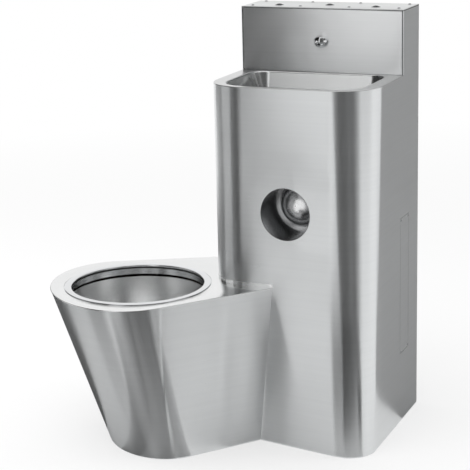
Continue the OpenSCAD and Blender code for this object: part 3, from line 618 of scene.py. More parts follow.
painted(LID_SHADE_STEEL, "top_lid")
panel_half = HALF_W - SHEET - JOINT
panel_points, panel_faces = [], []
panel_rows = []
for e, deep in ((0, SHEET), (0, 0.5), (0.15, 0.15), (0.5, 0), (1.5, 0)):
    low, high = DECK_Z + e, LID_Z - JOINT - e
    panel_rows.append([(x, z, deep) for x, z in ((-panel_half + e, low), (panel_half - e, low),
                                                 (panel_half - e, high), (-panel_half + e, high))])
stacked(panel_points, panel_faces, panel_rows)
panel_hole = arc(0, SPOUT_Z, PANEL_HOLE_R, 0, 350, 35)
filled(panel_points, panel_faces, panel_rows[-1], panel_hole, 0)
hole_rows = [[(x, z, deep) for x, z in panel_hole] for deep in (0, SHEET)]
stacked(panel_points, panel_faces, hole_rows)
filled(panel_points, panel_faces, panel_rows[0], panel_hole, SHEET)
panel = made_piece("splash_sheet", [(x, BOX_Y + deep, z) for x, z, deep in panel_points], panel_faces)
dressed(panel, PANEL_LIT_STEEL, "unit", "brushed_casing", "splash_panel")


def moulded(name, shade, roughness):
    """Moulded plastic or rubber with a faint grain."""
    material, board, shader = new_paint(name)
    place = board.node("ShaderNodeTexCoord", output="Object")
    grain = clouds(board, place, (900, 900, 900), 2)
    haze = clouds(board, place, (20, 20, 20), 2)
    bump = {"Strength": 0.2, "Distance": 0.0002, "Height": grain}
    coated(board, shader, shade, 0.85 + haze * 0.3, roughness + (haze - 0.5) * 0.2, bump)
    return material


# This black serves the real rubber seals and also the strips and ring that are painted shade in gaps.
SEAL_AND_SHADE_BLACK = moulded("seal rubber and painted shade", (0.03, 0.03, 0.03), 0.7)


def strip(points, faces, low, high):
    """A straight strip between two opposite corners."""
    first = len(points)
    points += [(x, y, z) for x in (low[0], high[0]) for y in (low[1], high[1]) for z in (low[2], high[2])]
    for quad in ((0, 1, 3, 2), (4, 6, 7, 5), (0, 4, 5, 1), (2, 3, 7, 6), (0, 2, 6, 4), (1, 5, 7, 3)):
        faces.append([first + i for i in quad])


# Painted shade: black strips in the joints make the narrow gaps round the panel and under the lid read
# dark.
gap_shade_points, gap_shade_faces = [], []
inner = HALF_W - SHEET
GAP_SHADE_FRONT = 0.4
GAP_SHADE_BACK = 1.6
front, rear = BOX_Y + GAP_SHADE_FRONT, BOX_Y + GAP_SHADE_BACK
strip(gap_shade_points, gap_shade_faces, (-inner, front, LID_Z - JOINT), (inner, rear, LID_Z))
for side in (-1, 1):
    ends = sorted((side * panel_half, side * inner))
    strip(gap_shade_points, gap_shade_faces, (ends[0], front, DECK_Z + 1), (ends[1], rear, LID_Z - JOINT))
    ends = sorted((side * (HALF_W - GAP_SHADE_FRONT), side * (HALF_W - GAP_SHADE_BACK)))
    strip(gap_shade_points, gap_shade_faces, (ends[0], BOX_Y + 0.2, LID_Z - JOINT), (ends[1], -GAP_SHADE_FRONT, LID_Z))
dressed(made_piece("box_gap_shade_strips", gap_shade_points, gap_shade_faces), SEAL_AND_SHADE_BLACK, "unit", "seal_rubber")

# The lid is held by eight round headed security screws, and four smaller ones hold the access panel.
# They are turned from stainless bar, with a six sided socket.
UNIT_H = 1043
SCREW_PITCH = 126.6
SCREW_ROWS = (-102, -12)
PANEL_INSET = 6
LID_SCREWS = [((i - 1.5) * SCREW_PITCH, y, UNIT_H) for i in range(4) for y in SCREW_ROWS]
panel_y = (ACCESS_Y[0] + PANEL_INSET, ACCESS_Y[1] - PANEL_INSET)
panel_z = (ACCESS_Z[0] + PANEL_INSET, ACCESS_Z[1] - PANEL_INSET)
PANEL_SCREWS = [(HALF_W, y, z) for y in panel_y for z in panel_z]
SCREW_STEEL = ground_steel("screw steel", (0.42, 0.42, 0.43), 0.35, (500, 500, 500), 0.0, 0.1, 0.1)


def growing_tree(name, inputs):
    """A node tree that grows a piece, the board of its nodes and its inputs."""
    tree = bpy.data.node_groups.new(name, "GeometryNodeTree")
    tree.interface.new_socket("Geometry", in_out="INPUT", socket_type="NodeSocketGeometry")
    for label, kind in inputs.items():
        tree.interface.new_socket(label, in_out="INPUT", socket_type="NodeSocket" + kind)
    tree.interface.new_socket("Geometry", in_out="OUTPUT", socket_type="NodeSocketGeometry")
    board = Board(tree)
    return tree, board, board.node("NodeGroupInput")


def end_tree(board, geometry, steel):
    """Ends a node tree: what it grew becomes real faces of one steel."""
    real = board.node("GeometryNodeRealizeInstances", {}, {"Geometry": geometry})
    faced = board.node("GeometryNodeSetMaterial", {}, {"Geometry": real, "Material": steel})
    board.node("NodeGroupOutput", {}, {"Geometry": faced})


screw_tree, board, given = growing_tree("security screws", {
    "Head radius": "Float", "Head height": "Float", "Shank length": "Float",
    "Turn": "Vector", "Steel": "Material",
})
head_r, head_h = given.other("Head radius"), given.other("Head height")
ball = board.node("GeometryNodeMeshUVSphere", {}, {"Segments": 24, "Rings": 14, "Radius": head_r})
low_ball = board.node("GeometryNodeTransform", {}, {
    "Geometry": ball,
    "Scale": board.node("ShaderNodeCombineXYZ", {}, {0: 1, 1: 1, 2: head_h / head_r}),
})
shank = board.node("GeometryNodeMeshCylinder", {}, {
    "Vertices": 20, "Radius": head_r * 0.5, "Depth": given.other("Shank length"),
}, "Mesh")
low_shank = board.node("GeometryNodeTransform", {}, {
    "Geometry": shank,
    "Translation": board.node("ShaderNodeCombineXYZ", {}, {2: given.other("Shank length") * -0.5}),
})
slab = board.node("GeometryNodeMeshCube", {}, {
    "Size": board.node("ShaderNodeCombineXYZ", {}, {0: head_r * 3, 1: head_r * 3, 2: head_h * 2}),
}, "Mesh")
low_slab = board.node("GeometryNodeTransform", {}, {
    "Geometry": slab,
    "Translation": board.node("ShaderNodeCombineXYZ", {}, {2: head_h * -1}),
})
socket = board.node("GeometryNodeMeshCylinder", {}, {
    "Vertices": 6, "Radius": head_r * 0.42, "Depth": head_h * 2,
}, "Mesh")
high_socket = board.node("GeometryNodeTransform", {}, {
    "Geometry": socket,
    "Translation": board.node("ShaderNodeCombineXYZ", {}, {2: head_h * 1.25}),
})
cut = {"operation": "DIFFERENCE"}
head = board.node("GeometryNodeMeshBoolean", cut, {"Mesh 1": low_ball, "Mesh 2": low_slab})
bored = board.node("GeometryNodeMeshBoolean", cut, {"Mesh 1": head, "Mesh 2": high_socket})
whole = board.node("GeometryNodeJoinGeometry", {}, {"Geometry": bored})
board.feed(whole.socket.node.inputs["Geometry"], low_shank)
placed = board.node("GeometryNodeInstanceOnPoints", {}, {
    "Points": given.other("Geometry"), "Instance": whole, "Rotation": given.other("Turn"),
})
end_tree(board, placed, given.other("Steel"))


def grown(name, points, tree, values):
    """Grows a piece on points with a node tree, and leaves a plain mesh."""
    piece = raw_piece(name, points, [])
    growth = piece.modifiers.new("growth", "NODES")
    growth.node_group = tree
    for item in tree.interface.items_tree:
        if item.name in values:
            growth[item.identifier] = values[item.name]
    return settled(piece, 35)


lid_screws = grown("lid_screw_set", LID_SCREWS, screw_tree, {
    "Head radius": 0.004, "Head height": 0.0022, "Shank length": 0.014,
    "Turn": (0, 0, 0), "Steel": SCREW_STEEL,
})
dressed(lid_screws, SCREW_STEEL, "unit", "screw_steel", "lid_screws")
panel_screws = grown("panel_screw_set", PANEL_SCREWS, screw_tree, {
    "Head radius": 0.0035, "Head height": 0.0011, "Shank length": 0.006,
    "Turn": (0, pi / 2, 0), "Steel": SCREW_STEEL,
})
dressed(panel_screws, SCREW_STEEL, "unit", "screw_steel", "access_screws")

# Three push buttons stand in the lid, turned and coloured nearly black, each a low dome on a stem in a
# black bush.
# The left one flushes the pan, and the other two run cold and warm water into the basin.
BUTTONS = {"flush": (-126, -84), "cold": (0, -64), "hot": (126, -84)}
BUTTON_R = 10
DOME_UP = 3.5
CAP_H = 10
CAP_BORE_R = 8.4
CAP_T = 2.5
STEM_R = 4
STEM_END = 38
COLLAR = (6, -24.3, -28.3)
POLISHED = ground_steel("polished steel", (0.72, 0.73, 0.74), 0.08, (60, 60, 60), 0.0, 0.02, 0.01)
BUTTON_STEEL = ground_steel("button steel", (0.07, 0.07, 0.075), 0.16, (60, 60, 60), 0.0, 0.02, 0.01)
ball_r = (BUTTON_R ** 2 + DOME_UP ** 2) / (2 * DOME_UP)
ball_turn = degrees(asin((BUTTON_R - 0.6) / ball_r))
cap_profile = crown(ball_r, ball_turn, ball_r - DOME_UP, 12)
cap_profile += [(BUTTON_R - 0.1, 0), (BUTTON_R, -0.6), (BUTTON_R, -CAP_H), (CAP_BORE_R, -CAP_H),
                (CAP_BORE_R, -CAP_T), (STEM_R, -CAP_T), (STEM_R, COLLAR[1] + 0.6), COLLAR[:2],
                COLLAR[::2], (STEM_R, COLLAR[2]), (STEM_R, -STEM_END), (0.01, -STEM_END)]
for name, (x, y) in BUTTONS.items():
    button = lathe(name + "_push", cap_profile, (x, y, UNIT_H), "Z", 48, 35)
    dressed(button, BUTTON_STEEL, name + "_button", "polished_steel", name + "_button")

# The spout is a polished dome on the splash panel, bored through at a slant so that the water falls into
# the basin. A shank and a nut behind the panel hold it.
SPOUT = (0, BOX_Y, SPOUT_Z)
SPOUT_R = 18
SHANK_R = 7
SHANK_LEN = 16
SPOUT_HOLE_R = 3
SPOUT_HOLE_TURN = radians(28)
spout_axis = Vector((0, -cos(SPOUT_HOLE_TURN), -sin(SPOUT_HOLE_TURN)))
spout_up = Vector((0, -sin(SPOUT_HOLE_TURN), cos(SPOUT_HOLE_TURN)))
spout_side = Vector((1, 0, 0))
SPOUT_STEPS = 64
spout_points = []
spout_rows = []
for deep in (12, 1.2, 0.4, 0):
    r = SPOUT_HOLE_R if deep > 1 else SPOUT_HOLE_R + 0.6 - deep
    spout_rows.append((r, deep))
for n in range(SPOUT_STEPS):
    a = 2 * pi * n / SPOUT_STEPS
    outward = spout_up * cos(a) + spout_side * sin(a)
    for r, deep in spout_rows:
        point = spout_axis * (sqrt(SPOUT_R ** 2 - r * r) - deep) + outward * r
        spout_points.append(Vector(SPOUT) + point)
    first = asin((SPOUT_HOLE_R + 0.9) / SPOUT_R)
    last = atan2(cos(SPOUT_HOLE_TURN), sin(SPOUT_HOLE_TURN) * cos(a))
    for i in range(15):
        turn = mix(first, last, i / 14)
        point = (spout_axis * cos(turn) + outward * sin(turn)) * SPOUT_R
        spout_points.append(Vector(SPOUT) + point)
    for back in (0, SHANK_LEN):
        spout_points.append(Vector(SPOUT) + Vector((SHANK_R * sin(a), back, SHANK_R * cos(a))))
spout_faces = wrapped(SPOUT_STEPS, len(spout_points) // SPOUT_STEPS, False)
spout_dome = made_piece("spout_dome", spout_points, spout_faces, 40)
dressed(spout_dome, POLISHED, "unit", "polished_steel", "spout")

# The access panel fills its cut-out in the right wall flush, with a narrow gap all round, and lies on a
# frame welded inside. It is cut from the casing's sheet.
painted(BRUSHED, "access_panel")

# The pan's skirt is a sheet rolled to half an ellipse with straight tails, wide at the rim and drawn in
# at the floor. Its tails are welded to the tower. It is grown as a grid, one row for each height, whose
# columns run from the tower's left wall round the pan to the tower's front.
BOWL = Vector((-365, -453))
PAN_TURN = radians(51)
PAN_U = Vector((-sin(PAN_TURN), -cos(PAN_TURN)))
PAN_N = Vector((-cos(PAN_TURN), sin(PAN_TURN)))
SIDE_U = -252
REACH = (83, 213)
HALF = (170, 220)
BACK_HALF = (127, 165)
CENTRE_U = (-51, 35)
ROUND_COLUMNS = 72
TAIL_COLUMNS = 10
SKIRT_TOP = 398
SKIRT_ROWS = 22
ROW_HEIGHT = 19.0

skirt_tree, board, given = growing_tree("pan skirt", {
    "Rows": "Int", "Lowest row": "Float", "Height of a row": "Float", "Highest row": "Float",
    "Inset": "Float", "Sink into the tower": "Float", "Steel": "Material",
})
inset, sink = given.other("Inset"), given.other("Sink into the tower")
columns = ROUND_COLUMNS + 2 * TAIL_COLUMNS
grid = board.node("GeometryNodeMeshGrid", {}, {
    "Size X": columns, "Size Y": given.other("Rows") - 1,
    "Vertices X": columns + 1, "Vertices Y": given.other("Rows"),
})
place = board.node("ShaderNodeSeparateXYZ", {}, {0: board.node("GeometryNodeInputPosition")})
column = place + columns / 2
row = place.other("Y") + (given.other("Rows") - 1) * 0.5
z = given.other("Lowest row") + row * given.other("Height of a row")
z = board.maths("MINIMUM", z, given.other("Highest row"))
up_share = z / RIM_Z
centre = mix(*CENTRE_U, up_share)
reach = mix(*REACH, up_share) - centre - inset
half = mix(*HALF, up_share) - inset
side = mix(*BACK_HALF, up_share) - inset
m, n = (SIDE_U - centre) / reach, side / half
turn = board.maths("ARCTAN2", n, m) - board.maths("ARCCOSINE", 1 / board.maths("SQRT", m * m + n * n))
along = board.maths("MAXIMUM", 0, board.maths("MINIMUM", 1, (column - TAIL_COLUMNS) / ROUND_COLUMNS))
t = turn * (1 - along * 2)


def at(u, v):
    return [u * PAN_U[k] + v * PAN_N[k] + BOWL[k] for k in (0, 1)]


def tail_way(edge, v):
    """The way from the ellipse's last point to the end of a straight tail, before it is cut."""
    return [a - b for a, b in zip(at(SIDE_U, v), edge)]


round_spot = at(centre + reach * board.maths("COSINE", t), half * board.maths("SINE", t))
left_edge = at(centre + reach * board.maths("COSINE", turn), half * board.maths("SINE", turn))
left_way = tail_way(left_edge, side)
left_cut = (sink - HALF_W - left_edge[0]) / left_way[0]
right_edge = at(centre + reach * board.maths("COSINE", turn), half * board.maths("SINE", turn) * -1)
right_way = tail_way(right_edge, side * -1)
down = board.maths("MAXIMUM", 0, 1 - up_share)
fold_a, fold_b = ((x, y + sink) for x, y in fold_ends(down))
fold = [b - a for a, b in zip(fold_a, fold_b)]
over = (fold_a[0] - right_edge[0]) * fold[1] - (fold_a[1] - right_edge[1]) * fold[0]
right_cut = over / (right_way[0] * fold[1] - right_way[1] * fold[0])
left_share = board.maths("MAXIMUM", 0, 1 - column / TAIL_COLUMNS) * left_cut
right_share = board.maths("MAXIMUM", 0, (column - TAIL_COLUMNS - ROUND_COLUMNS) / TAIL_COLUMNS) * right_cut
spot = [round_spot[k] + left_way[k] * left_share + right_way[k] * right_share for k in (0, 1)]
spot = board.node("ShaderNodeCombineXYZ", {}, {0: spot[0], 1: spot[1], 2: z})
spot = board.node("ShaderNodeVectorMath", {"operation": "SCALE"}, {0: spot, "Scale": 0.001})
bent = board.node("GeometryNodeSetPosition", {}, {"Geometry": grid, "Position": spot})
end_tree(board, bent, given.other("Steel"))


def pan_sheet(name, rows, low, step, top, inset=0.0, sink=1.5):
    """The skirt's sheet, or a narrow band of it, from its rows of heights."""
    return grown(name, [], skirt_tree, {
        "Rows": rows, "Lowest row": low, "Height of a row": step, "Highest row": top,
        "Inset": inset, "Sink into the tower": sink, "Steel": BRUSHED,
    })


skirt = pan_sheet("pan_casing", SKIRT_ROWS, 0.0, ROW_HEIGHT, SKIRT_TOP)
thickened(skirt, SHEET)
dressed(skirt, BRUSHED, "unit", "brushed_casing", "pan_skirt")

# The pan's top is a flat plate, welded to the skirt and ground to a small round edge, with a round hole
# for the seat ring. A narrow strip hides the weld between it and the tower.
HOLE_R = 181


def rim_outline(inset, sink=1.5):
    """The skirt's outline at the rim, as places."""
    line = pan_sheet("rim outline", 2, RIM_Z - 1.0, 1.0, RIM_Z, inset, sink)
    places = [(v.co.x * 1000, v.co.y * 1000) for v in line.data.vertices][1::2]
    bpy.data.objects.remove(line)
    return places


def tower_side(e):
    """The tower's outline at the rim between the pan's two joints, from the front to the left wall."""
    ends = rim_outline(0.0, 0.0)
    front = [(x, FRONT_Y + e) for x in spaced(ends[-1][0], -HALF_W + CORNER_R, 6)]
    corner = arc(-HALF_W + CORNER_R, FRONT_Y + CORNER_R, CORNER_R - e, 270, 180, 16)[1:]
    wall = [(-HALF_W + e, y) for y in spaced(FRONT_Y + CORNER_R, ends[0][1], 10)[:-1]]
    return front + corner + wall


top_points, top_faces = [], []
plate_rows = []
for e, h in ((0.0, 0), (0.0, 0.4), (0.3, 1.2), (0.85, 1.75), (1.6, 2), (2.6, 2)):
    plate_rows.append([(x, y, SKIRT_TOP + h) for x, y in rim_outline(e)])
stacked(top_points, top_faces, plate_rows, False)
plate_loop = plate_rows[-1] + tower_side(1.5)
hole_loop = [(BOWL.x + x, BOWL.y + y) for x, y in arc(0, 0, HOLE_R + 0.6, 0, 357.5, 143)]
filled(top_points, top_faces, plate_loop, hole_loop, RIM_Z)
hole_rows = [[(BOWL.x + x, BOWL.y + y, RIM_Z - h) for x, y in arc(0, 0, HOLE_R + r, 0, 357.5, 143)]
             for r, h in ((0.6, 0), (0.15, 0.2), (0, 0.7), (0, 2))]
stacked(top_points, top_faces, hole_rows)
pan_plate = made_piece("pan_plate", top_points, top_faces, 40)
dressed(pan_plate, SATIN, "unit", "satin_sheet", "pan_top")
painted(PRESSED, "pan_cove")

# The seat ring is turned and polished, a flat band whose inner edge is rolled over. Below the roll a black
# ring fills the gap to the wall that reaches down into the bowl, as painted shade in that gap.
SEAT_R = 167
SEAT_SHEET = 1.5
SEAT_DROP = 24
BAND_R = 179.8
LEDGE_R = 186
LEDGE_Z = -5.5
ROLL = 3
LIP_IN = 162
seat_profile = [(BAND_R, -SHEET), (BAND_R, 0.4), (BAND_R - 0.4, 0.8), (BAND_R - 1, 1)]
seat_profile += arc(LIP_IN + ROLL, 1 - ROLL, ROLL, 90, 270, 12)
wall_r = SEAT_R + SEAT_SHEET
seat_profile += [(SEAT_R, 1 - 2 * ROLL), (SEAT_R, -SEAT_DROP), (wall_r, -SEAT_DROP), (wall_r, LEDGE_Z)]
seat_profile += [(LEDGE_R, LEDGE_Z), (LEDGE_R, -SHEET)]
seat = lathe("seat_band", seat_profile, (BOWL.x, BOWL.y, RIM_Z), "Z", 144, 35, True)
dressed(seat, POLISHED, "unit", "polished_steel", "seat_ring")
# Painted shade: a black ring under the roll makes the gap there read dark.
gap_shade_profile = [(SEAT_R - 0.1, -5.2), (LIP_IN + 1.2, -5.2), (LIP_IN + 1.6, -8.5), (SEAT_R - 0.1, -9.2)]
gap_shade_ring = lathe("seat_gap_shade", gap_shade_profile, (BOWL.x, BOWL.y, RIM_Z), "Z", 144, 50, True)
dressed(gap_shade_ring, SEAL_AND_SHADE_BLACK, "unit", "seal_rubber")

# The bowl is spun from sheet. It starts in a channel that hides the spray ring under the seat ring, and
# falls in a round sweep to the trap.
CHANNEL_Z = 372
SHOULDER = (172, 368)
BOWL_FOOT_R = 42.25
BOWL_LOW = 149
BOWL_NECK = 130
BOWL_FOOT = 114
BOWL_STEPS = 40
COLLAR_R = 196
SPUN_SHEET = 1.5
# Painted light: the bowl's steel is lighter than the basin's pressed steel, for the light inside the bowl.
SPUN_LIT_STEEL = ground_steel("spun bowl, painted light", (0.9, 0.905, 0.905), 0.24, (14, 14, 14), 0.0, 0.04, 0.1)
bowl_profile = [(COLLAR_R, SKIRT_TOP), (COLLAR_R, CHANNEL_Z + 2), (COLLAR_R - 2, CHANNEL_Z)]
for i in range(BOWL_STEPS + 1):
    a = radians(90 * i / BOWL_STEPS)
    r = BOWL_FOOT_R + (SHOULDER[0] - BOWL_FOOT_R) * cos(a)
    bowl_profile.append((r, SHOULDER[1] - (SHOULDER[1] - BOWL_LOW) * sin(a)))
bowl_profile += [(BOWL_FOOT_R, BOWL_NECK), (BOWL_FOOT_R, BOWL_FOOT)]
bowl_skin = lathe("bowl_skin", bowl_profile, (BOWL.x, BOWL.y, 0), "Z", 144, 35)
bowl_skin.data.flip_normals()
thickened(bowl_skin, SPUN_SHEET, 35)
dressed(bowl_skin, SPUN_LIT_STEEL, "unit", "satin_sheet", "pan_bowl")

# The pieces inside the tower and the pan are plain sheet and angle, brass valves, copper pipe, plastic
# traps and rubber seals. Little of them shows, through the grating and from behind.
MILL = ground_steel("mill steel", (0.45, 0.46, 0.47), 0.42, (30, 30, 30), 0.0, 0.12, 0.2)
BRASS = ground_steel("brass", (0.72, 0.52, 0.24), 0.3, (60, 60, 60), 0.0, 0.12, 0.1)
COPPER = ground_steel("copper", (0.75, 0.42, 0.28), 0.28, (40, 40, 40), 0.0, 0.15, 0.1)

painted(MILL, "back_plate", "lid_rails", "deck_brackets", "access_frame", "base_angles")
painted(MILL, "pan_foot", "pan_trap")
painted(POLISHED, "basin_waste")
painted(BRASS, "flush_valve", "cold_valve", "hot_valve", "spout_nut")
painted(COPPER, "cold_supply", "hot_supply", "flush_supply", "flush_pipe", "mixing_pipe")
# Painted shade: the spray ring is coloured nearly black so the gap under the seat ring shows dark.
painted(ground_steel("copper, painted shade", (0.03, 0.02, 0.017), 0.5, (40, 40, 40)), "flush_ring")
painted(moulded("black plastic", (0.02, 0.02, 0.022), 0.4), "button_bushes")
painted(moulded("waste plastic", (0.75, 0.75, 0.73), 0.45), "basin_trap", "waste_pipe", "waste_nut")
painted(SEAL_AND_SHADE_BLACK, "outlet_seal")

# The return springs are one round wire each, wound four turns round the stem, from the floor of the bush
# to the underside of the cap.
SPRING_STEEL = ground_steel("spring steel", (0.5, 0.5, 0.5), 0.25, (400, 400, 400))
WIRE_R = 0.8
COIL_R = 6.6
COIL_TURNS = 4
TURN_STEPS = 28
WIRE_SIDES = 10
PRESS = 5
coil_steps = COIL_TURNS * TURN_STEPS
for name, (x, y) in BUTTONS.items():
    foot, head = (corner[2] * 1000 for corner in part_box(name + "_spring"))
    rings = []
    for i in range(coil_steps + 1):
        turn = radians(360 * i / TURN_STEPS)
        height = foot + WIRE_R + (head - foot - 2 * WIRE_R) * i / coil_steps
        around = [radians(360 * j / WIRE_SIDES) for j in range(WIRE_SIDES)]
        ring = [(COIL_R + WIRE_R * cos(a), height + WIRE_R * sin(a)) for a in around]
        rings.append([(x + r * cos(turn), y + r * sin(turn), z) for r, z in ring])
    points = []
    faces = [list(range(WIRE_SIDES)), [coil_steps * WIRE_SIDES + j for j in range(WIRE_SIDES)]]
    stacked(points, faces, rings)
    coil = made_piece(name + "_coil", points, faces, 60)
    dressed(coil, SPRING_STEEL, "unit", "spring_steel", name + "_spring")
    x / 1000
    y / 1000
    1 - PRESS / (head - foot)
    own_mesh(coil)

# The camera stands in front of the unit and to its right, a little above it, with a long lens. It is
# turned a degree and a half round its own line of sight, and its lens has no shift.
LENS = 117.8
AZIMUTH = radians(23.287)
DOWN = radians(14.724)
ROLL_LEFT = radians(-1.416)
EYE = Vector((1284.6, -3677.6, 1465.7))
forward = Vector((-sin(AZIMUTH) * cos(DOWN), cos(AZIMUTH) * cos(DOWN), -sin(DOWN)))
level_right = Vector((cos(AZIMUTH), sin(AZIMUTH), 0))
level_up = level_right.cross(forward)
right = cos(ROLL_LEFT) * level_right + sin(ROLL_LEFT) * level_up
up = cos(ROLL_LEFT) * level_up - sin(ROLL_LEFT) * level_right
eye = in_scene("camera", bpy.data.cameras.new("camera"))
eye.data.lens = LENS
eye.data.sensor_width = 36
eye.matrix_world = Matrix.Translation(EYE / 1000) @ Matrix((right, up, -forward)).transposed().to_4x4()
bpy.context.scene.camera = eye

# The room is white wherever the camera or the steel looks at it. The floor is painted a pale grey, keeps
# the unit's shadow, and fades into the white room further off.
FLOOR_SHADE = (0.9, 0.9, 0.9)
FADE_START = 1.5
FADE_END = 4
NEAR_WHITE = 0.55


def seen_rays(board):
    """One where the camera or the steel looks, and nought where only soft light goes."""
    ray = board.node("ShaderNodeLightPath", output="Is Camera Ray")
    seen = board.maths("MAXIMUM", ray, ray.other("Is Glossy Ray"))
    return board.maths("MAXIMUM", seen, ray.other("Is Transmission Ray"))


world = bpy.data.worlds.new("white room")
world.use_nodes = True
bpy.context.scene.world = world
room = Board(world.node_tree)
back = world.node_tree.nodes["Background"]
back.inputs["Color"].default_value = (1, 1, 1, 1)
room.feed(back.inputs["Strength"], seen_rays(room) * 0.15 + 0.85)

floor_mesh = bpy.data.meshes.new("floor")
floor_mesh.from_pydata([(-20, -20, 0), (20, -20, 0), (20, 20, 0), (-20, 20, 0)], [], [[0, 1, 2, 3]])
floor = in_scene("floor", floor_mesh)
floor_paint, floor_board, paint = new_paint("floor")
paint.inputs["Base Color"].default_value = (*FLOOR_SHADE, 1)
paint.inputs["Roughness"].default_value = 0.9
paint.inputs["Specular IOR Level"].default_value = 0
glow = floor_board.node("ShaderNodeEmission", {}, {"Color": (1, 1, 1, 1), "Strength": 1})
place = floor_board.node("ShaderNodeTexCoord", output="Object")
away = floor_board.node("ShaderNodeVectorMath", {"operation": "LENGTH"}, {0: place}, "Value")
away = floor_board.node("ShaderNodeMapRange", {}, {
    "Value": away, "From Min": FADE_START, "From Max": FADE_END, "To Min": NEAR_WHITE,
})
matt = Wire(floor_board, paint.outputs["BSDF"])
blend = floor_board.node("ShaderNodeMixShader", {}, {0: seen_rays(floor_board) * away, 1: matt, 2: glow})
floor_board.feed(floor_board.tree.nodes["Material Output"].inputs["Surface"], blend)
floor_mesh.materials.append(floor_paint)

# Three large soft lamps light the unit from the left, from the right and from above. The steel doesn't
# mirror them.


def lamp(name, place, aim, size, watts):
    made = in_scene(name, bpy.data.lights.new(name, "AREA"))
    made.data.shape = "RECTANGLE"
    made.data.size, made.data.size_y = size
    made.data.energy = watts
    made.visible_glossy = False
    made.location = place
    made.rotation_euler = (Vector(aim) - Vector(place)).to_track_quat("-Z", "Y").to_euler()


lamp("left lamp", (-2.6, -0.55, 1.5), (0, -0.3, 0.6), (1.6, 2.4), 20)
lamp("right lamp", (2.4, 0.65, 1.5), (0, -0.3, 0.6), (1.0, 2.4), 15)
lamp("top lamp", (-0.6, -1.6, 3.2), (-0.1, -0.3, 0.5), (2.0, 2.0), 25)

# Plain boards and cards stand and lie round the unit, and some lie under it. Only its steel sees them. They
# draw the dark and pale bands in the steel, and two of them glow.


def studio_board(name, corners, shade, glow=0):
    """A plain board of one grey that only the steel sees. One that glows is a soft light card."""
    mesh = bpy.data.meshes.new(name)
    mesh.from_pydata(corners, [], [[0, 1, 2, 3]])
    made = in_scene(name, mesh)
    paint, _, coat = new_paint(name)
    coat.inputs["Base Color"].default_value = (shade, shade, shade, 1)
    coat.inputs["Specular IOR Level"].default_value = 0
    coat.inputs["Emission Color"].default_value = (1, 1, 1, 1)
    coat.inputs["Emission Strength"].default_value = glow
    mesh.materials.append(paint)
    made.visible_camera = False
    made.visible_shadow = False
    made.visible_diffuse = False


def round_place(centre, azimuth, distance, height):
    """A place round a centre. The azimuth runs from straight in front to the right."""
    a = radians(azimuth)
    return Vector((centre[0] + distance * sin(a), centre[1] - distance * cos(a), height))


def upright(name, centre, start, end, far, low, high, shade):
    """An upright board between two azimuths, from its lower edge up by its height."""
    a, b = (round_place(centre, turn, far, low) for turn in (start, end))
    top = Vector((0, 0, high))
    studio_board(name, [a, b, b + top, a + top], shade)


TOWER_MIDDLE = (0.05, -0.32)
TOWER_CORNER = (-0.11, -0.388)
PAN_MIDDLE = (-0.365, -0.453)
# An upright board: its first and last azimuth, its distance, its height and its grey.
UPRIGHT = {
    TOWER_CORNER: [(-52, -38, 2.15, 3, 0.4), (-38, -22.5, 2.15, 3, 0.24),
                   (-52, -22.5, 2.1, 0.3, 0.03), (-84, -52, 1.6, 0.25, 0.05)],
    TOWER_MIDDLE: [(-11, -5, 1.92, 3, 0.4), (-6, 2, 1.9, 3, 0.2), (2, 28, 1.88, 3, 0.09),
                   (28, 52, 1.9, 3, 0.11), (51, 58, 1.92, 3, 0.25), (57, 63, 1.94, 3, 0.5),
                   (148, 178, 1.9, 3, 0.35)],
    PAN_MIDDLE: [(-170, -84, 1.1, 0.4, 0.1), (-84, -40, 0.8, 0.25, 0.6)],
}


def numbered(groups):
    """Runs through the boards of each centre, with their number and their centre."""
    boards = [(centre, values) for centre, rows in groups.items() for values in rows]
    return [(number, centre, values) for number, (centre, values) in enumerate(boards)]


for number, centre, (start, end, far, high, shade) in numbered(UPRIGHT):
    upright(f"upright board {number}", centre, start, end, far, 0, high, shade)
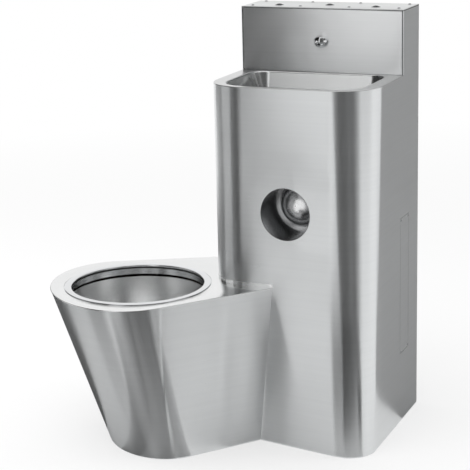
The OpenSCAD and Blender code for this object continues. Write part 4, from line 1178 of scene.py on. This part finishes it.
# A lying board: its first and last azimuth, its near and far distance and its grey.
LYING = {
    PAN_MIDDLE: [(-170, -126, 0.12, 1.1, 0.1), (-126, -84, 0.12, 1.1, 0.1), (-84, -45, 0.03, 0.8, 0.6),
                 (-45, -10, 0.03, 0.8, 0.6), (-10, 21, 0.03, 1.0, 0.22), (21, 52, 0.03, 1.0, 0.36)],
    TOWER_MIDDLE: [(-8, 22, 0.6, 1.9, 0.1), (22, 52, 0.65, 1.9, 0.1), (52, 72, 0.8, 1.9, 0.4),
                   (140, 180, 0.12, 1.9, 0.33)],
    TOWER_CORNER: [(-52, -29, 1.0, 2.1, 0.04)],
}
for number, centre, (start, end, near, far, shade) in numbered(LYING):
    height = 0.0003 + 0.0002 * number
    corners = [(start, near), (start, far), (end, far), (end, near)]
    studio_board(f"lying board {number}", [round_place(centre, a, d, height) for a, d in corners], shade)
right_of_pan = [(-0.12, -0.37), (0.8, -0.45), (0.6, -0.85), (-0.15, -0.55)]
studio_board("board right of the pan", [Vector((x, y, 0.003)) for x, y in right_of_pan], 0.8)
SLANT = ((50, 0.03), (52, 1.1), (66, 1.1), (53, 0.03))
studio_board("slanting board", [round_place(PAN_MIDDLE, turn, far, 0.0028) for turn, far in SLANT], 0.55)
# A card: its two ends, its lower and upper edge, its grey and its glow.
CARDS = [((-0.202, -0.624), (-0.042, -0.745), 0, 0.6, 0.4, 0),
         ((-0.195, -0.625), (-0.04, -0.742), 0, 0.6, 0.1, 0.82),
         ((-0.07, -0.765), (0.5, -0.91), 0, 0.3, 0.05, 0),
         ((0.33, -0.44), (0.32, -0.485), 0, 0.2, 0.03, 0),
         ((0.13, -0.53), (0.75, -0.64), 0, 0.22, 0.08, 0),
         ((-0.01, -0.45), (0.09, -0.45), 0.53, 0.68, 0.1, 0.82)]
for number, (a, b, low, high, shade, glow) in enumerate(CARDS):
    corners = [Vector((*a, low)), Vector((*b, low)), Vector((*b, high)), Vector((*a, high))]
    studio_board(f"card {number}", corners, shade, glow)
upright("high board", TOWER_MIDDLE, 60, 105, 1.9, 1.15, 1.15, 0.12)
upright("high left board 0", TOWER_CORNER, -118, -84, 1.5, 0.62, 2.6, 0.02)
upright("high left board 1", TOWER_CORNER, -84, -22, 1.9, 0.95, 2.6, 0.02)

# The picture keeps its plain tones.
bpy.context.scene.view_settings.view_transform = "Standard"
